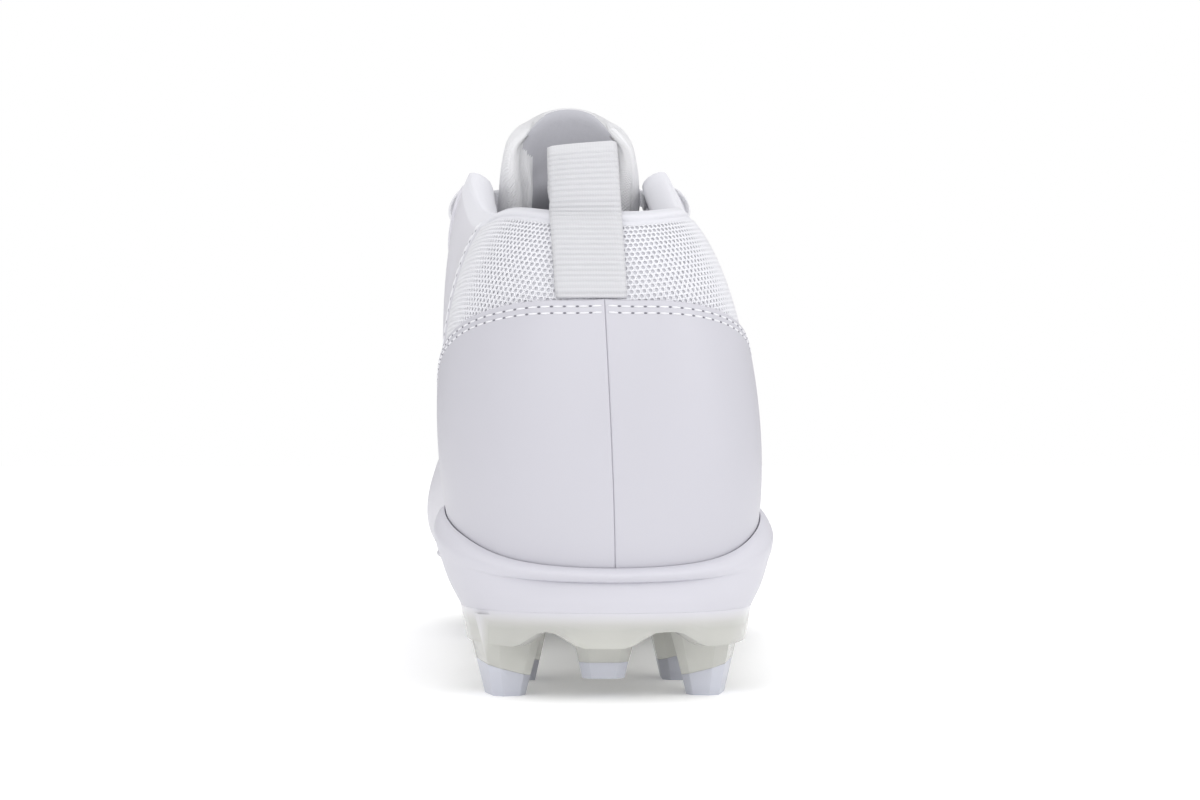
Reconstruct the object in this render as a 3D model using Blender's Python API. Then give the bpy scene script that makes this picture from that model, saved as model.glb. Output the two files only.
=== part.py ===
"""Right-foot football cleat with a moulded stud plate, in metres with +Z up.

The toe points along +Y, the outer (lateral) side of the foot is +X, and the studs stand on Z = 0.
The shoe is worked out in millimetres with the back of the heel at y = 0, then hung on an empty
that puts the middle of its footprint at the origin.
"""

import math
from collections import namedtuple

import bmesh
import bpy
import numpy as np
from mathutils import Vector

MM = 0.001

# Driving sizes, in millimetres
FOOTPRINT_CENTRE = (2.26, 148.65)
GAP = 0.3
WALL = 2.2
COLLAR_WALL = 7.0
PANEL_THICK = 1.2
RIM_STAND = 3.7
RIM_BEAD = 0.9
RIM_FLANK = 2.2
PLATE_WALL = 4.5
PLATE_RECESS_SHARE = 0.55
ARCH_SHARE = 0.45
STUD_HEAD_SHARE = 0.80
INSOLE_THICK = 4.0
TONGUE_THICK = 6.0
TONGUE_CLEAR = 0.9
WEBBING_WIDE = 15.8
WEBBING_THICK = 1.3
LACE_WIDE = 6.5
LACE_THICK = 1.5
LACE_CLEAR = 0.5
STUD_SPLIT = 6.2
STUD_CHAMFER = 2.6
RIBS_PER_ROW = 4

# Ribs of the upper, once round the shoe from the back of the heel by the lateral side.
# Each rib rises from its foot on the midsole floor to its top on the collar or throat edge.
# bulge and rise place the lower handle, out from and above the foot.
# share, shoulder and drop place the upper handle: part of the way back to the foot, out, and down.
Rib = namedtuple("Rib", "name foot_x foot_y bulge rise share shoulder drop top_x top_y top_z")
RIBS = [
    Rib("heel back", 0.0, 7.5, 8.0, 22, 0.00, 9.5, 14, -3.0, 14, 109.8),
    Rib("heel corner, lateral", 20.0, 13.0, 9.5, 22, 0.00, 12.5, 12, 9.0, 17, 110.4),
    Rib("heel side, lateral", 29.5, 30.0, 10.0, 22, 0.00, 15.0, 12, 17.0, 33, 112.6),
    Rib("quarter, lateral", 31.0, 58.0, 9.0, 24, 0.00, 12.5, 16, 18.0, 62, 116.8),
    Rib("waist, lateral", 33.0, 95.0, 7.0, 28, 0.00, 12.0, 24, 16.2, 95, 127.5),
    Rib("shank, lateral", 39.0, 135.0, 6.0, 26, 0.00, 17.0, 16, 13.5, 130, 109.0),
    Rib("instep, lateral", 44.5, 167.0, 5.0, 24, 0.05, 18.0, 14, 13.0, 155, 97.0),
    Rib("ball, lateral", 47.0, 199.0, 4.0, 21, 0.15, 17.0, 12, 12.0, 178, 86.5),
    Rib("forefoot, lateral", 43.5, 235.0, 4.0, 18, 0.35, 10.0, 13, 9.0, 191, 80.0),
    Rib("toe corner, lateral", 29.5, 271.0, 4.0, 17, 0.50, 6.0, 16, 5.0, 197, 77.0),
    Rib("toe tip", -3.5, 291.0, 4.5, 17, 0.50, 4.0, 17, -1.5, 199, 76.0),
    Rib("toe corner, medial", -31.0, 276.0, 4.0, 17, 0.50, 6.0, 16, -7.5, 197, 77.0),
    Rib("forefoot, medial", -37.0, 245.0, 11.0, 12, 0.35, 10.0, 13, -12.0, 191, 80.0),
    Rib("ball, medial", -34.6, 209.0, 29.5, 11, 0.15, 17.0, 12, -15.0, 178, 86.5),
    Rib("instep, medial", -33.0, 170.0, 12.0, 16, 0.05, 17.0, 14, -18.0, 155, 97.0),
    Rib("shank, medial", -30.5, 135.0, 9.0, 26, 0.00, 16.0, 16, -21.5, 130, 109.0),
    Rib("waist, medial", -29.0, 95.0, 10.0, 28, 0.00, 11.0, 24, -32.5, 93, 127.0),
    Rib("quarter, medial", -31.0, 58.0, 11.0, 24, 0.00, 11.5, 16, -30.5, 60, 115.2),
    Rib("heel side, medial", -30.5, 30.0, 11.5, 22, 0.00, 15.5, 12, -24.0, 32, 112.2),
    Rib("heel corner, medial", -20.0, 13.0, 10.0, 22, 0.00, 12.5, 12, -14.5, 17, 110.4),
]
ROUND = len(RIBS)
TOE = ROUND // 2

# Heights along the sole: foot of the plate's wall, seam between plate and midsole,
# floor of the midsole cup, groove under its rim and top of its rim.
# spread is how far the seam stands out from the foot of the upper.
Station = namedtuple("Station", "y base seam floor groove rim spread")
SOLE = [
    Station(0, 12.0, 20.0, 25.0, 25.8, 28.2, 3.0),
    Station(12, 12.0, 20.0, 25.0, 27.5, 31.4, 3.2),
    Station(25, 12.2, 20.1, 25.0, 30.8, 37.2, 3.4),
    Station(45, 13.0, 20.6, 25.0, 33.4, 42.6, 3.4),
    Station(72, 15.0, 22.0, 25.2, 33.0, 42.4, 3.2),
    Station(110, 17.6, 23.2, 25.6, 29.6, 35.0, 2.2),
    Station(150, 15.2, 20.4, 23.8, 25.6, 29.2, 1.4),
    Station(200, 11.0, 16.0, 20.0, 21.6, 25.2, 1.2),
    Station(235, 11.8, 16.8, 20.8, 22.4, 26.0, 1.2),
    Station(270, 16.0, 21.0, 24.8, 26.6, 30.6, 1.2),
    Station(300, 22.5, 27.5, 31.0, 33.0, 37.4, 1.2),
]

# Studs: middle of the foot, size of the foot along and across, turn, height of the foot off the floor
Stud = namedtuple("Stud", "name x y long wide turn foot")
STUDS = [
    Stud("heel_rear_lateral", 22.0, 27, 12, 7.6, -14, 0.0),
    Stud("heel_rear_medial", -24.4, 27, 12, 7.6, 14, 0.0),
    Stud("heel_front_lateral", 18.0, 62, 12, 7.6, 0, 0.0),
    Stud("heel_front_medial", -20.8, 62, 12, 7.6, 0, 0.0),
    Stud("heel_centre", -2.0, 20, 6, 9.6, 0, 4.3),
    Stud("ball_rear_lateral", 35.5, 172, 12, 7.6, -8, 0.0),
    Stud("ball_rear_medial", -26.5, 182, 12, 7.6, 8, 0.0),
    Stud("ball_lateral", 38.0, 206, 12, 7.6, 0, 0.0),
    Stud("ball_medial", -27.6, 214, 12, 7.6, 0, 0.0),
    Stud("fore_lateral", 30.5, 240, 12, 7.6, 18, 0.0),
    Stud("fore_medial", -27.8, 247, 12, 7.6, -10, 0.0),
    Stud("toe", -3.5, 270, 7, 12.0, 0, 2.5),
]

# Top line of the heel counter: place round the shoe in ribs, share of the way up the rib
COUNTER_TOP = [(0.0, 0.705), (1.0, 0.682), (2.0, 0.605), (3.0, 0.480), (3.6, 0.365), (4.0, 0.260), (4.25, 0.17)]

# Eyestay from its top corner to the middle of the throat: rib, and the shares of its two edges
Eyestay = namedtuple("Eyestay", "rib inner outer")
EYESTAY = [
    Eyestay(3.75, 0.970, 0.80),
    Eyestay(4.00, 0.980, 0.77),
    Eyestay(5.00, 0.985, 0.74),
    Eyestay(6.00, 0.985, 0.71),
    Eyestay(7.00, 0.985, 0.73),
    Eyestay(8.00, 0.985, 0.81),
    Eyestay(9.00, 0.985, 0.855),
    Eyestay(10.0, 0.985, 0.865),
]
EYELETS = [4.30, 4.90, 5.50, 6.15, 6.85, 7.60]

# Free end of the tongue: crest and side edges of each section above the top eyelets
TongueEnd = namedtuple("TongueEnd", "crest_y crest_z edge_y edge_z half_wide")
TONGUE_END = [
    TongueEnd(101.0, 125.5, 91.0, 110.0, 19.8),
    TongueEnd(97.0, 133.0, 85.0, 118.5, 18.8),
    TongueEnd(94.8, 139.0, 82.5, 126.5, 18.2),
    TongueEnd(93.8, 143.2, 84.0, 134.0, 16.8),
    TongueEnd(93.6, 145.6, 88.5, 140.6, 12.0),
]
TONGUE_MIDDLE = -7.8
TONGUE_SEWN = 37
TONGUE_FREE = 19

# Pull loop, seen from the side: how far behind the collar edge and how high each bend is
LOOP_BENDS = [(1.6, 114.5), (2.4, 119.5), (4.2, 123.8), (7.2, 126.0), (10.4, 124.2), (12.2, 119.8), (12.0, 114.5)]
LOOP_FOOT = 91.4
LOOP_TUCK = 95.0
LOOP_MIDDLE = -5.2
LOOP_LEAN = 0.05


def clear_scene():
    for obj in list(bpy.data.objects):
        bpy.data.objects.remove(obj)


def new_collection(name):
    collection = bpy.data.collections.new(name)
    bpy.context.scene.collection.children.link(collection)
    return collection


def new_material(name, colour, roughness, transmission=0.0):
    material = bpy.data.materials.new(name)
    material.use_nodes = True
    shader = material.node_tree.nodes["Principled BSDF"]
    shader.inputs["Base Color"].default_value = (*colour, 1)
    shader.inputs["Roughness"].default_value = roughness
    shader.inputs["Metallic"].default_value = 0
    shader.inputs["Transmission Weight"].default_value = transmission
    return material


# Curves through the tables


def closed_spline(values):
    """Smooth closed curve through evenly spaced values, as a function of the place round it."""
    values = np.asarray(values, float)
    count = len(values)
    system = 4 * np.eye(count) + np.roll(np.eye(count), 1, axis=0) + np.roll(np.eye(count), -1, axis=0)
    slopes = np.linalg.solve(system, 3 * (np.roll(values, -1) - np.roll(values, 1)))

    def at(place):
        first = math.floor(place)
        part = place - first
        a, b = first % count, (first + 1) % count
        keep = (1 + 2 * part) * (1 - part) ** 2
        return (
            keep * values[a]
            + (1 - keep) * values[b]
            + part * (1 - part) ** 2 * slopes[a]
            - part**2 * (1 - part) * slopes[b]
        )

    return at


def open_spline(stops):
    """Smooth curve through (place, value) stops, flat beyond both ends."""
    places = np.array([stop[0] for stop in stops], float)
    values = np.array([stop[1] for stop in stops], float)
    slopes = np.gradient(values, places)

    def at(place):
        place = min(max(place, places[0]), places[-1])
        a = min(int(np.searchsorted(places, place, "right")) - 1, len(places) - 2)
        step = places[a + 1] - places[a]
        part = (place - places[a]) / step
        keep = (1 + 2 * part) * (1 - part) ** 2
        return (
            keep * values[a]
            + (1 - keep) * values[a + 1]
            + step * part * (1 - part) ** 2 * slopes[a]
            - step * part**2 * (1 - part) * slopes[a + 1]
        )

    return at


RIB_AT = {field: closed_spline([getattr(rib, field) for rib in RIBS]) for field in Rib._fields[1:]}
SOLE_AT = {field: open_spline([(row.y, getattr(row, field)) for row in SOLE]) for field in Station._fields[1:]}
COUNTER_SHARE = open_spline(COUNTER_TOP)


# The upper's own surface


def outward(rib):
    """Level direction out of the shoe at the foot of a rib."""
    step = 0.01
    along_x = RIB_AT["foot_x"](rib + step) - RIB_AT["foot_x"](rib - step)
    along_y = RIB_AT["foot_y"](rib + step) - RIB_AT["foot_y"](rib - step)
    return np.array([along_y, -along_x, 0]) / math.hypot(along_x, along_y)


def rib_handles(rib):
    """The four points that shape one rib."""
    at = {field: curve(rib) for field, curve in RIB_AT.items()}
    out = outward(rib)
    foot = np.array([at["foot_x"], at["foot_y"], SOLE_AT["floor"](at["foot_y"]) + GAP])
    top = np.array([at["top_x"], at["top_y"], at["top_z"]])
    lower = foot + at["bulge"] * out + np.array([0, 0, at["rise"]])
    level = np.array([foot[0] - top[0], foot[1] - top[1], 0])
    upper = top + at["share"] * level + at["shoulder"] * out - np.array([0, 0, at["drop"]])
    return foot, lower, upper, top


def surface(rib, share):
    """Point of the upper's outside, a share of the way up a rib."""
    foot, lower, upper, top = rib_handles(rib)
    rest = 1 - share
    return rest**3 * foot + 3 * rest**2 * share * lower + 3 * rest * share**2 * upper + share**3 * top


def skin(rib, share, offset):
    """Point at a distance out from the upper's outside, or into the shoe when negative."""
    step = 0.01
    across = surface(rib + step, share) - surface(rib - step, share)
    up = surface(rib, share + step) - surface(rib, share - step)
    normal = np.cross(across, up)
    return surface(rib, share) + offset * normal / np.linalg.norm(normal)


def smooth_step(value, low, high):
    part = min(max((value - low) / (high - low), 0), 1)
    return part * part * (3 - 2 * part)


def wall_thickness(rib, share):
    """Thin over the foot, padded round the collar up to the eyestay's top corners."""
    from_heel = min(rib % ROUND, ROUND - rib % ROUND)
    padding = (1 - smooth_step(from_heel, 3.5, 4.6)) * smooth_step(share, 0.40, 0.85)
    return WALL + (COLLAR_WALL - WALL) * padding


def share_at_height(rib, height):
    """How far up a rib a height is."""
    low, high = 0.0, 1.0
    for _ in range(40):
        middle = (low + high) / 2
        if surface(rib, middle)[2] < height:
            low = middle
        else:
            high = middle
    return (low + high) / 2


def heel_place(x, height):
    """Rib and share of the point at the back of the heel with this x and height."""
    low, high = -2.0, 2.0
    for _ in range(30):
        middle = (low + high) / 2
        if surface(middle, share_at_height(middle, height))[0] < x:
            low = middle
        else:
            high = middle
    rib = (low + high) / 2
    return rib, share_at_height(rib, height)


def ribs_round():
    return [place / RIBS_PER_ROW for place in range(ROUND * RIBS_PER_ROW)]


def spine(rib):
    """Point of the shoe's middle line that a rib's floor runs to: the same one for both sides."""
    lateral = rib if rib <= TOE else ROUND - rib
    x = (RIB_AT["foot_x"](lateral) + RIB_AT["foot_x"](-lateral)) / 2
    y = (RIB_AT["foot_y"](lateral) + RIB_AT["foot_y"](-lateral)) / 2
    back, front = RIB_AT["foot_y"](0), RIB_AT["foot_y"](TOE)
    inset = 16.0
    return x, back + inset + (y - back) * (front - back - 2 * inset) / (front - back)


# Meshes and solids


def grid_mesh(rows, turn_round=False, turn_across=False):
    """Mesh of quads over rows of points in millimetres, with equal points joined."""
    mesh = bmesh.new()
    corners = [[mesh.verts.new(Vector(point) * MM) for point in row] for row in rows]
    for i in range(len(rows) - (not turn_round)):
        here, following = corners[i], corners[(i + 1) % len(rows)]
        for j in range(len(here) - (not turn_across)):
            beside = (j + 1) % len(here)
            mesh.faces.new((here[j], following[j], following[beside], here[beside]))
    return mesh


def slab_mesh(outer, inner):
    """Closed mesh between two equal grids of points in millimetres."""
    mesh = bmesh.new()
    tops = [[mesh.verts.new(Vector(point) * MM) for point in row] for row in outer]
    feet = [[mesh.verts.new(Vector(point) * MM) for point in row] for row in inner]
    last_row, last_column = len(outer) - 1, len(outer[0]) - 1
    for i in range(last_row):
        for j in range(last_column):
            mesh.faces.new((tops[i][j], tops[i + 1][j], tops[i + 1][j + 1], tops[i][j + 1]))
            mesh.faces.new((feet[i][j], feet[i][j + 1], feet[i + 1][j + 1], feet[i + 1][j]))
    for i in range(last_row):
        for j in (0, last_column):
            mesh.faces.new((tops[i][j], feet[i][j], feet[i + 1][j], tops[i + 1][j]))
    for j in range(last_column):
        for i in (0, last_row):
            mesh.faces.new((tops[i][j], tops[i][j + 1], feet[i][j + 1], feet[i][j]))
    return mesh


def finish(mesh, name, material, collection, shoe):
    """Object from a closed mesh, with its faces turned outwards and soft shading."""
    bmesh.ops.remove_doubles(mesh, verts=mesh.verts, dist=0.002 * MM)
    bmesh.ops.recalc_face_normals(mesh, faces=mesh.faces)
    data = bpy.data.meshes.new(name)
    mesh.to_mesh(data)
    mesh.free()
    data.shade_smooth()
    data.set_sharp_from_angle(angle=math.radians(40))
    data.materials.append(material)
    obj = bpy.data.objects.new(name, data)
    collection.objects.link(obj)
    obj.parent = shoe
    return obj


# The pieces


def upper_mesh():
    outer_shares = [0, 0.06, 0.13, 0.22, 0.33, 0.45, 0.57, 0.68, 0.78, 0.87, 0.94, 1.0]
    inner_shares = [1.0, 0.90, 0.77, 0.63, 0.46, 0.28, 0.12, 0]
    rows = []
    for rib in ribs_round():
        outside = [surface(rib, share) for share in outer_shares]
        inside = [skin(rib, share, -wall_thickness(rib, share)) for share in inner_shares]
        lift = 0.28 * wall_thickness(rib, 1.0)
        edge = (outside[-1] + inside[0]) / 2 + np.array([0, 0, lift])
        rows.append(outside + [edge] + inside)
    return grid_mesh(rows, turn_round=True, turn_across=True)


def flank(rib):
    """0 at the back of the heel, 1 on its sides, and 0 again from the waist on."""
    from_heel = min(rib % ROUND, ROUND - rib % ROUND)
    return smooth_step(from_heel, 0.5, 1.6) * (1 - smooth_step(from_heel, 3.0, 4.5))


def rim_section(rib):
    """Outside of the midsole at one rib, from the seam up over the groove and bead to the rim's inner edge."""
    foot = surface(rib, 0)
    out = outward(rib)
    height = {field: curve(foot[1]) for field, curve in SOLE_AT.items()}
    seam = foot + height["spread"] * out
    seam[2] = height["seam"] + GAP
    groove = surface(rib, share_at_height(rib, height["groove"]))
    rim = surface(rib, share_at_height(rib, height["rim"]))
    bead = height["rim"] - height["groove"]
    up = np.array([0, 0, 1.0])
    fuller = RIM_FLANK * flank(rib)
    below = groove + (RIM_STAND - 0.5 + fuller) * out - 0.6 * up
    return [
        seam,
        seam * 0.55 + below * 0.45 + 0.5 * out,
        below,
        groove + (RIM_STAND - RIM_BEAD + 1.3 * fuller) * out,
        groove + (RIM_STAND + 0.3 + 0.9 * fuller) * out + 0.14 * bead * up,
        (groove + rim) / 2 + (RIM_STAND + 0.6 + 0.3 * fuller) * out,
        rim + RIM_STAND * 0.9 * out - 0.16 * bead * up,
        rim + RIM_STAND * 0.5 * out,
    ]


def midsole_mesh():
    rows = []
    for rib in ribs_round():
        y = RIB_AT["foot_y"](rib)
        x_middle, y_middle = spine(rib)
        top_share = share_at_height(rib, SOLE_AT["rim"](y) - 0.2)
        well = [skin(rib, top_share * part, GAP) for part in (1.0, 0.66, 0.33, 0)]
        well[-1][2] = SOLE_AT["floor"](y)
        below = (x_middle, y_middle, SOLE_AT["seam"](y_middle) + GAP)
        floor = (x_middle, y_middle, SOLE_AT["floor"](y_middle))
        rows.append([below] + rim_section(rib) + well + [floor])
    return grid_mesh(rows, turn_round=True)


def plate_height(y, share):
    """Height a share of the way up the plate's wall."""
    return SOLE_AT["base"](y) + share * (SOLE_AT["seam"](y) - SOLE_AT["base"](y))


def wall_foot_height(x, y):
    """Foot of the plate's wall: low by the studs, and lifted into an arch between them."""
    nearest = min(math.hypot(x - stud.x, 0.6 * (y - stud.y)) for stud in STUDS)
    return plate_height(y, ARCH_SHARE * smooth_step(nearest, 8.0, 13.5))


def plate_mesh():
    rows = []
    for rib in ribs_round():
        foot = surface(rib, 0)
        out = outward(rib)
        y = foot[1]
        x_middle, y_middle = spine(rib)
        base = wall_foot_height(foot[0], y)
        seam = SOLE_AT["seam"](y)
        spread = SOLE_AT["spread"](y)
        wall_foot = foot + (spread - 1.4) * out
        inner = wall_foot - PLATE_WALL * out
        recess = inner - 1.6 * out
        rows.append(
            [
                (x_middle, y_middle, SOLE_AT["seam"](y_middle)),
                (*(foot + spread * out)[:2], seam),
                (*wall_foot[:2], base),
                (*inner[:2], base),
                (*recess[:2], plate_height(y, PLATE_RECESS_SHARE)),
                (x_middle, y_middle, plate_height(y_middle, PLATE_RECESS_SHARE)),
            ]
        )
    return grid_mesh(rows, turn_round=True)


def insole_mesh():
    rows = []
    for rib in ribs_round():
        x_middle, y_middle = spine(rib)
        edge = skin(rib, 0, -(WALL + 0.5))
        floor = SOLE_AT["floor"](RIB_AT["foot_y"](rib)) + GAP
        floor_middle = SOLE_AT["floor"](y_middle) + GAP
        rows.append(
            [
                (x_middle, y_middle, floor_middle),
                (*edge[:2], floor),
                (*edge[:2], floor + INSOLE_THICK),
                (x_middle, y_middle, floor_middle + INSOLE_THICK),
            ]
        )
    return grid_mesh(rows, turn_round=True)


def counter_mesh(side):
    """Half of the heel counter, from the back seam round one side (1 lateral, -1 medial)."""
    seam_half = 0.012
    columns = 7
    steps = round(COUNTER_TOP[-1][0] * RIBS_PER_ROW)
    places = [seam_half] + [step / RIBS_PER_ROW for step in range(1, steps + 1)]
    outer, inner = [], []
    for place in places:
        rib = side * place
        low = share_at_height(rib, SOLE_AT["rim"](RIB_AT["foot_y"](rib)) + 0.5)
        high = max(COUNTER_SHARE(place), low + 0.02)
        shares = [low + (high - low) * part / columns for part in range(columns + 1)]
        outer.append([skin(rib, share, GAP + PANEL_THICK) for share in shares])
        inner.append([skin(rib, share, GAP) for share in shares])
    return slab_mesh(outer, inner)


def eyestay_mesh():
    """U-shaped strip along the throat edge, from the lateral top corner round to the medial one."""
    inner_edge = open_spline([(row.rib, row.inner) for row in EYESTAY])
    outer_edge = open_spline([(row.rib, row.outer) for row in EYESTAY])
    columns = 3
    steps = round((TOE - EYESTAY[0].rib) * RIBS_PER_ROW)
    outer, inner = [], []
    for step in range(-steps, steps + 1):
        rib = TOE + step / RIBS_PER_ROW
        place = TOE - abs(step) / RIBS_PER_ROW
        high, low = inner_edge(place), outer_edge(place)
        shares = [high + (low - high) * part / columns for part in range(columns + 1)]
        outer.append([skin(rib, share, GAP + PANEL_THICK) for share in shares])
        inner.append([skin(rib, share, GAP) for share in shares])
    return slab_mesh(outer, inner)


def tongue_rows():
    """Top face of the tongue, from its sewn end under the vamp to its free top, side to side."""
    tucked = (0.70, 0.79, 0.88, 0.96)
    rows = []
    for step in range(TONGUE_SEWN, TONGUE_FREE - 1, -2):
        rib = step / RIBS_PER_ROW
        lateral = [skin(rib, share, -(WALL + TONGUE_CLEAR)) for share in tucked]
        medial = [skin(-rib, share, -(WALL + TONGUE_CLEAR)) for share in tucked]
        crest = (lateral[-1] + medial[-1]) / 2
        crown = 0.12 * np.linalg.norm(lateral[-1] - medial[-1])
        crest[2] += crown - (crown + 1.2) * smooth_step(rib, 7.0, 8.5)
        rows.append(lateral + [crest] + medial[::-1])
    for end in TONGUE_END:
        row = []
        for part in range(4, -5, -1):
            turn = math.radians(90) * part / 4
            fall = 1 - math.cos(turn)
            row.append(
                np.array(
                    [
                        TONGUE_MIDDLE + end.half_wide * math.sin(turn),
                        end.crest_y + (end.edge_y - end.crest_y) * fall,
                        end.crest_z + (end.edge_z - end.crest_z) * fall,
                    ]
                )
            )
        rows.append(row)
    return rows


def tongue_mesh():
    outer = tongue_rows()
    count, across = len(outer), len(outer[0])
    inner = []
    for i, row in enumerate(outer):
        padding = TONGUE_THICK * min(1.0, 0.45 + 0.2 * (count - 1 - i))
        inner_row = []
        for j, point in enumerate(row):
            along = outer[min(i + 1, count - 1)][j] - outer[max(i - 1, 0)][j]
            side = row[max(j - 1, 0)] - row[min(j + 1, across - 1)]
            inward = np.cross(side, along)
            thick = padding * (0.55 if j in (0, across - 1) else 1.0)
            inner_row.append(point + thick * inward / np.linalg.norm(inward))
        inner.append(inner_row)
    return slab_mesh(outer, inner)


def loop_path(x):
    """Middle of the webbing at one distance across it: up the outside of the collar, over, and down inside."""
    half = 2 * GAP + WEBBING_THICK / 2

    def leaning(height):
        return x - LOOP_LEAN * (height - LOOP_FOOT)

    path = []
    for height in (LOOP_FOOT, 97.0, 101.5, 106.0, 109.5):
        rib, share = heel_place(leaning(height), height)
        path.append(skin(rib, share, half))
    rib, share = heel_place(x, 110.0)
    edge = surface(rib, 1.0)
    for behind, height in LOOP_BENDS:
        path.append(np.array([leaning(height), edge[1] - 3.5 + behind, height]))
    for height in (110.0, 106.0, 101.0, LOOP_TUCK):
        rib, share = heel_place(leaning(height), height)
        path.append(skin(rib, share, -(wall_thickness(rib, share) + half)))
    return path


def pull_loop_mesh():
    middle = []
    for part in (-1, -0.33, 0.33, 1):
        middle.append(loop_path(LOOP_MIDDLE + part * WEBBING_WIDE / 2))
    outer, inner = [], []
    for path in middle:
        outer_row, inner_row = [], []
        for j, point in enumerate(path):
            along = path[min(j + 1, len(path) - 1)] - path[max(j - 1, 0)]
            normal = np.cross(along, (1, 0, 0))
            normal = normal / np.linalg.norm(normal)
            outer_row.append(point - normal * WEBBING_THICK / 2)
            inner_row.append(point + normal * WEBBING_THICK / 2)
        outer.append(outer_row)
        inner.append(inner_row)
    return slab_mesh(outer, inner)


def lace_bar_mesh(start, stop, lift):
    """One length of flat lace from an eyelet on the lateral side to one on the medial side."""
    stand = 2 * GAP + PANEL_THICK + LACE_THICK / 2 + LACE_CLEAR + lift
    middle = (start + stop) / 2
    near, far = 0.7 * start + 0.3 * middle, 0.7 * stop + 0.3 * middle
    places = [(start, 0.87), (start, 0.94), (near, 0.995), (-far, 0.995), (-stop, 0.94), (-stop, 0.87)]
    path = [skin(rib, share, stand) for rib, share in places]
    normals = [skin(rib, share, 1.0) - surface(rib, share) for rib, share in places]
    crest = (path[2] + path[3]) / 2
    crest[2] += 0.10 * np.linalg.norm(path[2] - path[3])
    path.insert(3, crest)
    normals.insert(3, normals[2] + normals[3])
    outer, inner = [], []
    for j, point in enumerate(path):
        along = path[min(j + 1, len(path) - 1)] - path[max(j - 1, 0)]
        side = np.cross(normals[j], along)
        side = side / np.linalg.norm(side)
        up = np.cross(along, side)
        up = up / np.linalg.norm(up)
        edges = [point + side * LACE_WIDE / 2, point - side * LACE_WIDE / 2]
        outer.append([edge + up * LACE_THICK / 2 for edge in edges])
        inner.append([edge - up * LACE_THICK / 2 for edge in edges])
    return slab_mesh(outer, inner)


def stud_mesh(stud):
    """Whole tapered stud, foot down, with its upright corners cut."""
    head = plate_height(stud.y, STUD_HEAD_SHARE)
    spread = 0.44 * (head - stud.foot)
    mesh = bmesh.new()
    bmesh.ops.create_cube(mesh, size=1)
    turn = math.radians(stud.turn)
    for corner in mesh.verts:
        grow = spread if corner.co.z > 0 else 0
        x = corner.co.x * (stud.wide + grow)
        y = corner.co.y * (stud.long + grow)
        corner.co = Vector(
            (
                stud.x + x * math.cos(turn) - y * math.sin(turn),
                stud.y + x * math.sin(turn) + y * math.cos(turn),
                head if corner.co.z > 0 else stud.foot,
            )
        ) * MM
    upright = [edge for edge in mesh.edges if abs(edge.verts[0].co.z - edge.verts[1].co.z) > MM]
    bmesh.ops.bevel(mesh, geom=upright, offset=STUD_CHAMFER * MM, segments=1, profile=0.5, affect="EDGES")
    return mesh


def cut_stud(mesh, stud, keep_foot):
    """One side of the slanted joint between a stud's body and its tip."""
    lean = 0.28 if stud.x > 0 else -0.28
    if stud.name in ("heel_centre", "toe"):
        lean = 0.0
    normal = Vector((-lean, 0, 1)).normalized()
    height = stud.foot + STUD_SPLIT * (0.6 if stud.foot else 1.0)
    point = Vector((stud.x, stud.y, height)) * MM + normal * (0 if keep_foot else GAP * MM)
    geometry = mesh.verts[:] + mesh.edges[:] + mesh.faces[:]
    cut = bmesh.ops.bisect_plane(
        mesh, geom=geometry, plane_co=point, plane_no=normal, clear_outer=keep_foot, clear_inner=not keep_foot
    )
    rim = [item for item in cut["geom_cut"] if isinstance(item, bmesh.types.BMEdge)]
    bmesh.ops.contextual_create(mesh, geom=rim)
    return mesh


def add_union(obj, helper):
    helper.hide_render = True
    helper.display_type = "WIRE"
    join = obj.modifiers.new("join_" + helper.name, "BOOLEAN")
    join.operation = "UNION"
    join.solver = "EXACT"
    join.object = helper


def build_upper(parts, shoe):
    cloth = new_material("collar_mesh", (0.72, 0.72, 0.76), 0.8)
    finish(upper_mesh(), "upper", cloth, parts, shoe)


def build_overlays(parts, shoe):
    leather = new_material("smooth_synthetic", (0.78, 0.78, 0.82), 0.45)
    finish(counter_mesh(1), "counter_lateral", leather, parts, shoe)
    finish(counter_mesh(-1), "counter_medial", leather, parts, shoe)
    finish(eyestay_mesh(), "eyestay", leather, parts, shoe)


def build_tongue(parts, shoe):
    padding = new_material("tongue_fabric", (0.66, 0.66, 0.70), 0.85)
    finish(tongue_mesh(), "tongue", padding, parts, shoe)


def build_sole(parts, cutters, shoe):
    foam = new_material("midsole_white", (0.80, 0.80, 0.83), 0.5)
    clear = new_material("clear_plate", (0.72, 0.72, 0.67), 0.25, transmission=0.6)
    liner = new_material("insole_fabric", (0.62, 0.62, 0.65), 0.9)
    tip_white = new_material("stud_tip_white", (0.76, 0.77, 0.84), 0.4)
    finish(midsole_mesh(), "midsole", foam, parts, shoe)
    finish(insole_mesh(), "insole", liner, parts, shoe)
    plate = finish(plate_mesh(), "outsole_plate", clear, parts, shoe)
    for stud in STUDS:
        body = finish(cut_stud(stud_mesh(stud), stud, False), "body_" + stud.name, clear, cutters, shoe)
        add_union(plate, body)
        finish(cut_stud(stud_mesh(stud), stud, True), "tip_" + stud.name, tip_white, parts, shoe)


def build_pull_loop(parts, shoe):
    webbing = new_material("ribbed_webbing", (0.72, 0.72, 0.76), 0.7)
    finish(pull_loop_mesh(), "pull_loop", webbing, parts, shoe)


def build_lace(parts, cutters, shoe):
    cord = new_material("lace_white", (0.78, 0.78, 0.80), 0.8)
    lace = None
    for row in range(len(EYELETS) - 1):
        for start, stop, lift in ((row, row + 1, 0.0), (row + 1, row, 0.7)):
            mesh = lace_bar_mesh(EYELETS[start], EYELETS[stop], lift)
            if lace is None:
                lace = finish(mesh, "lace", cord, parts, shoe)
            else:
                add_union(lace, finish(mesh, f"lace_bar_{start}_{stop}", cord, cutters, shoe))


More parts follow.
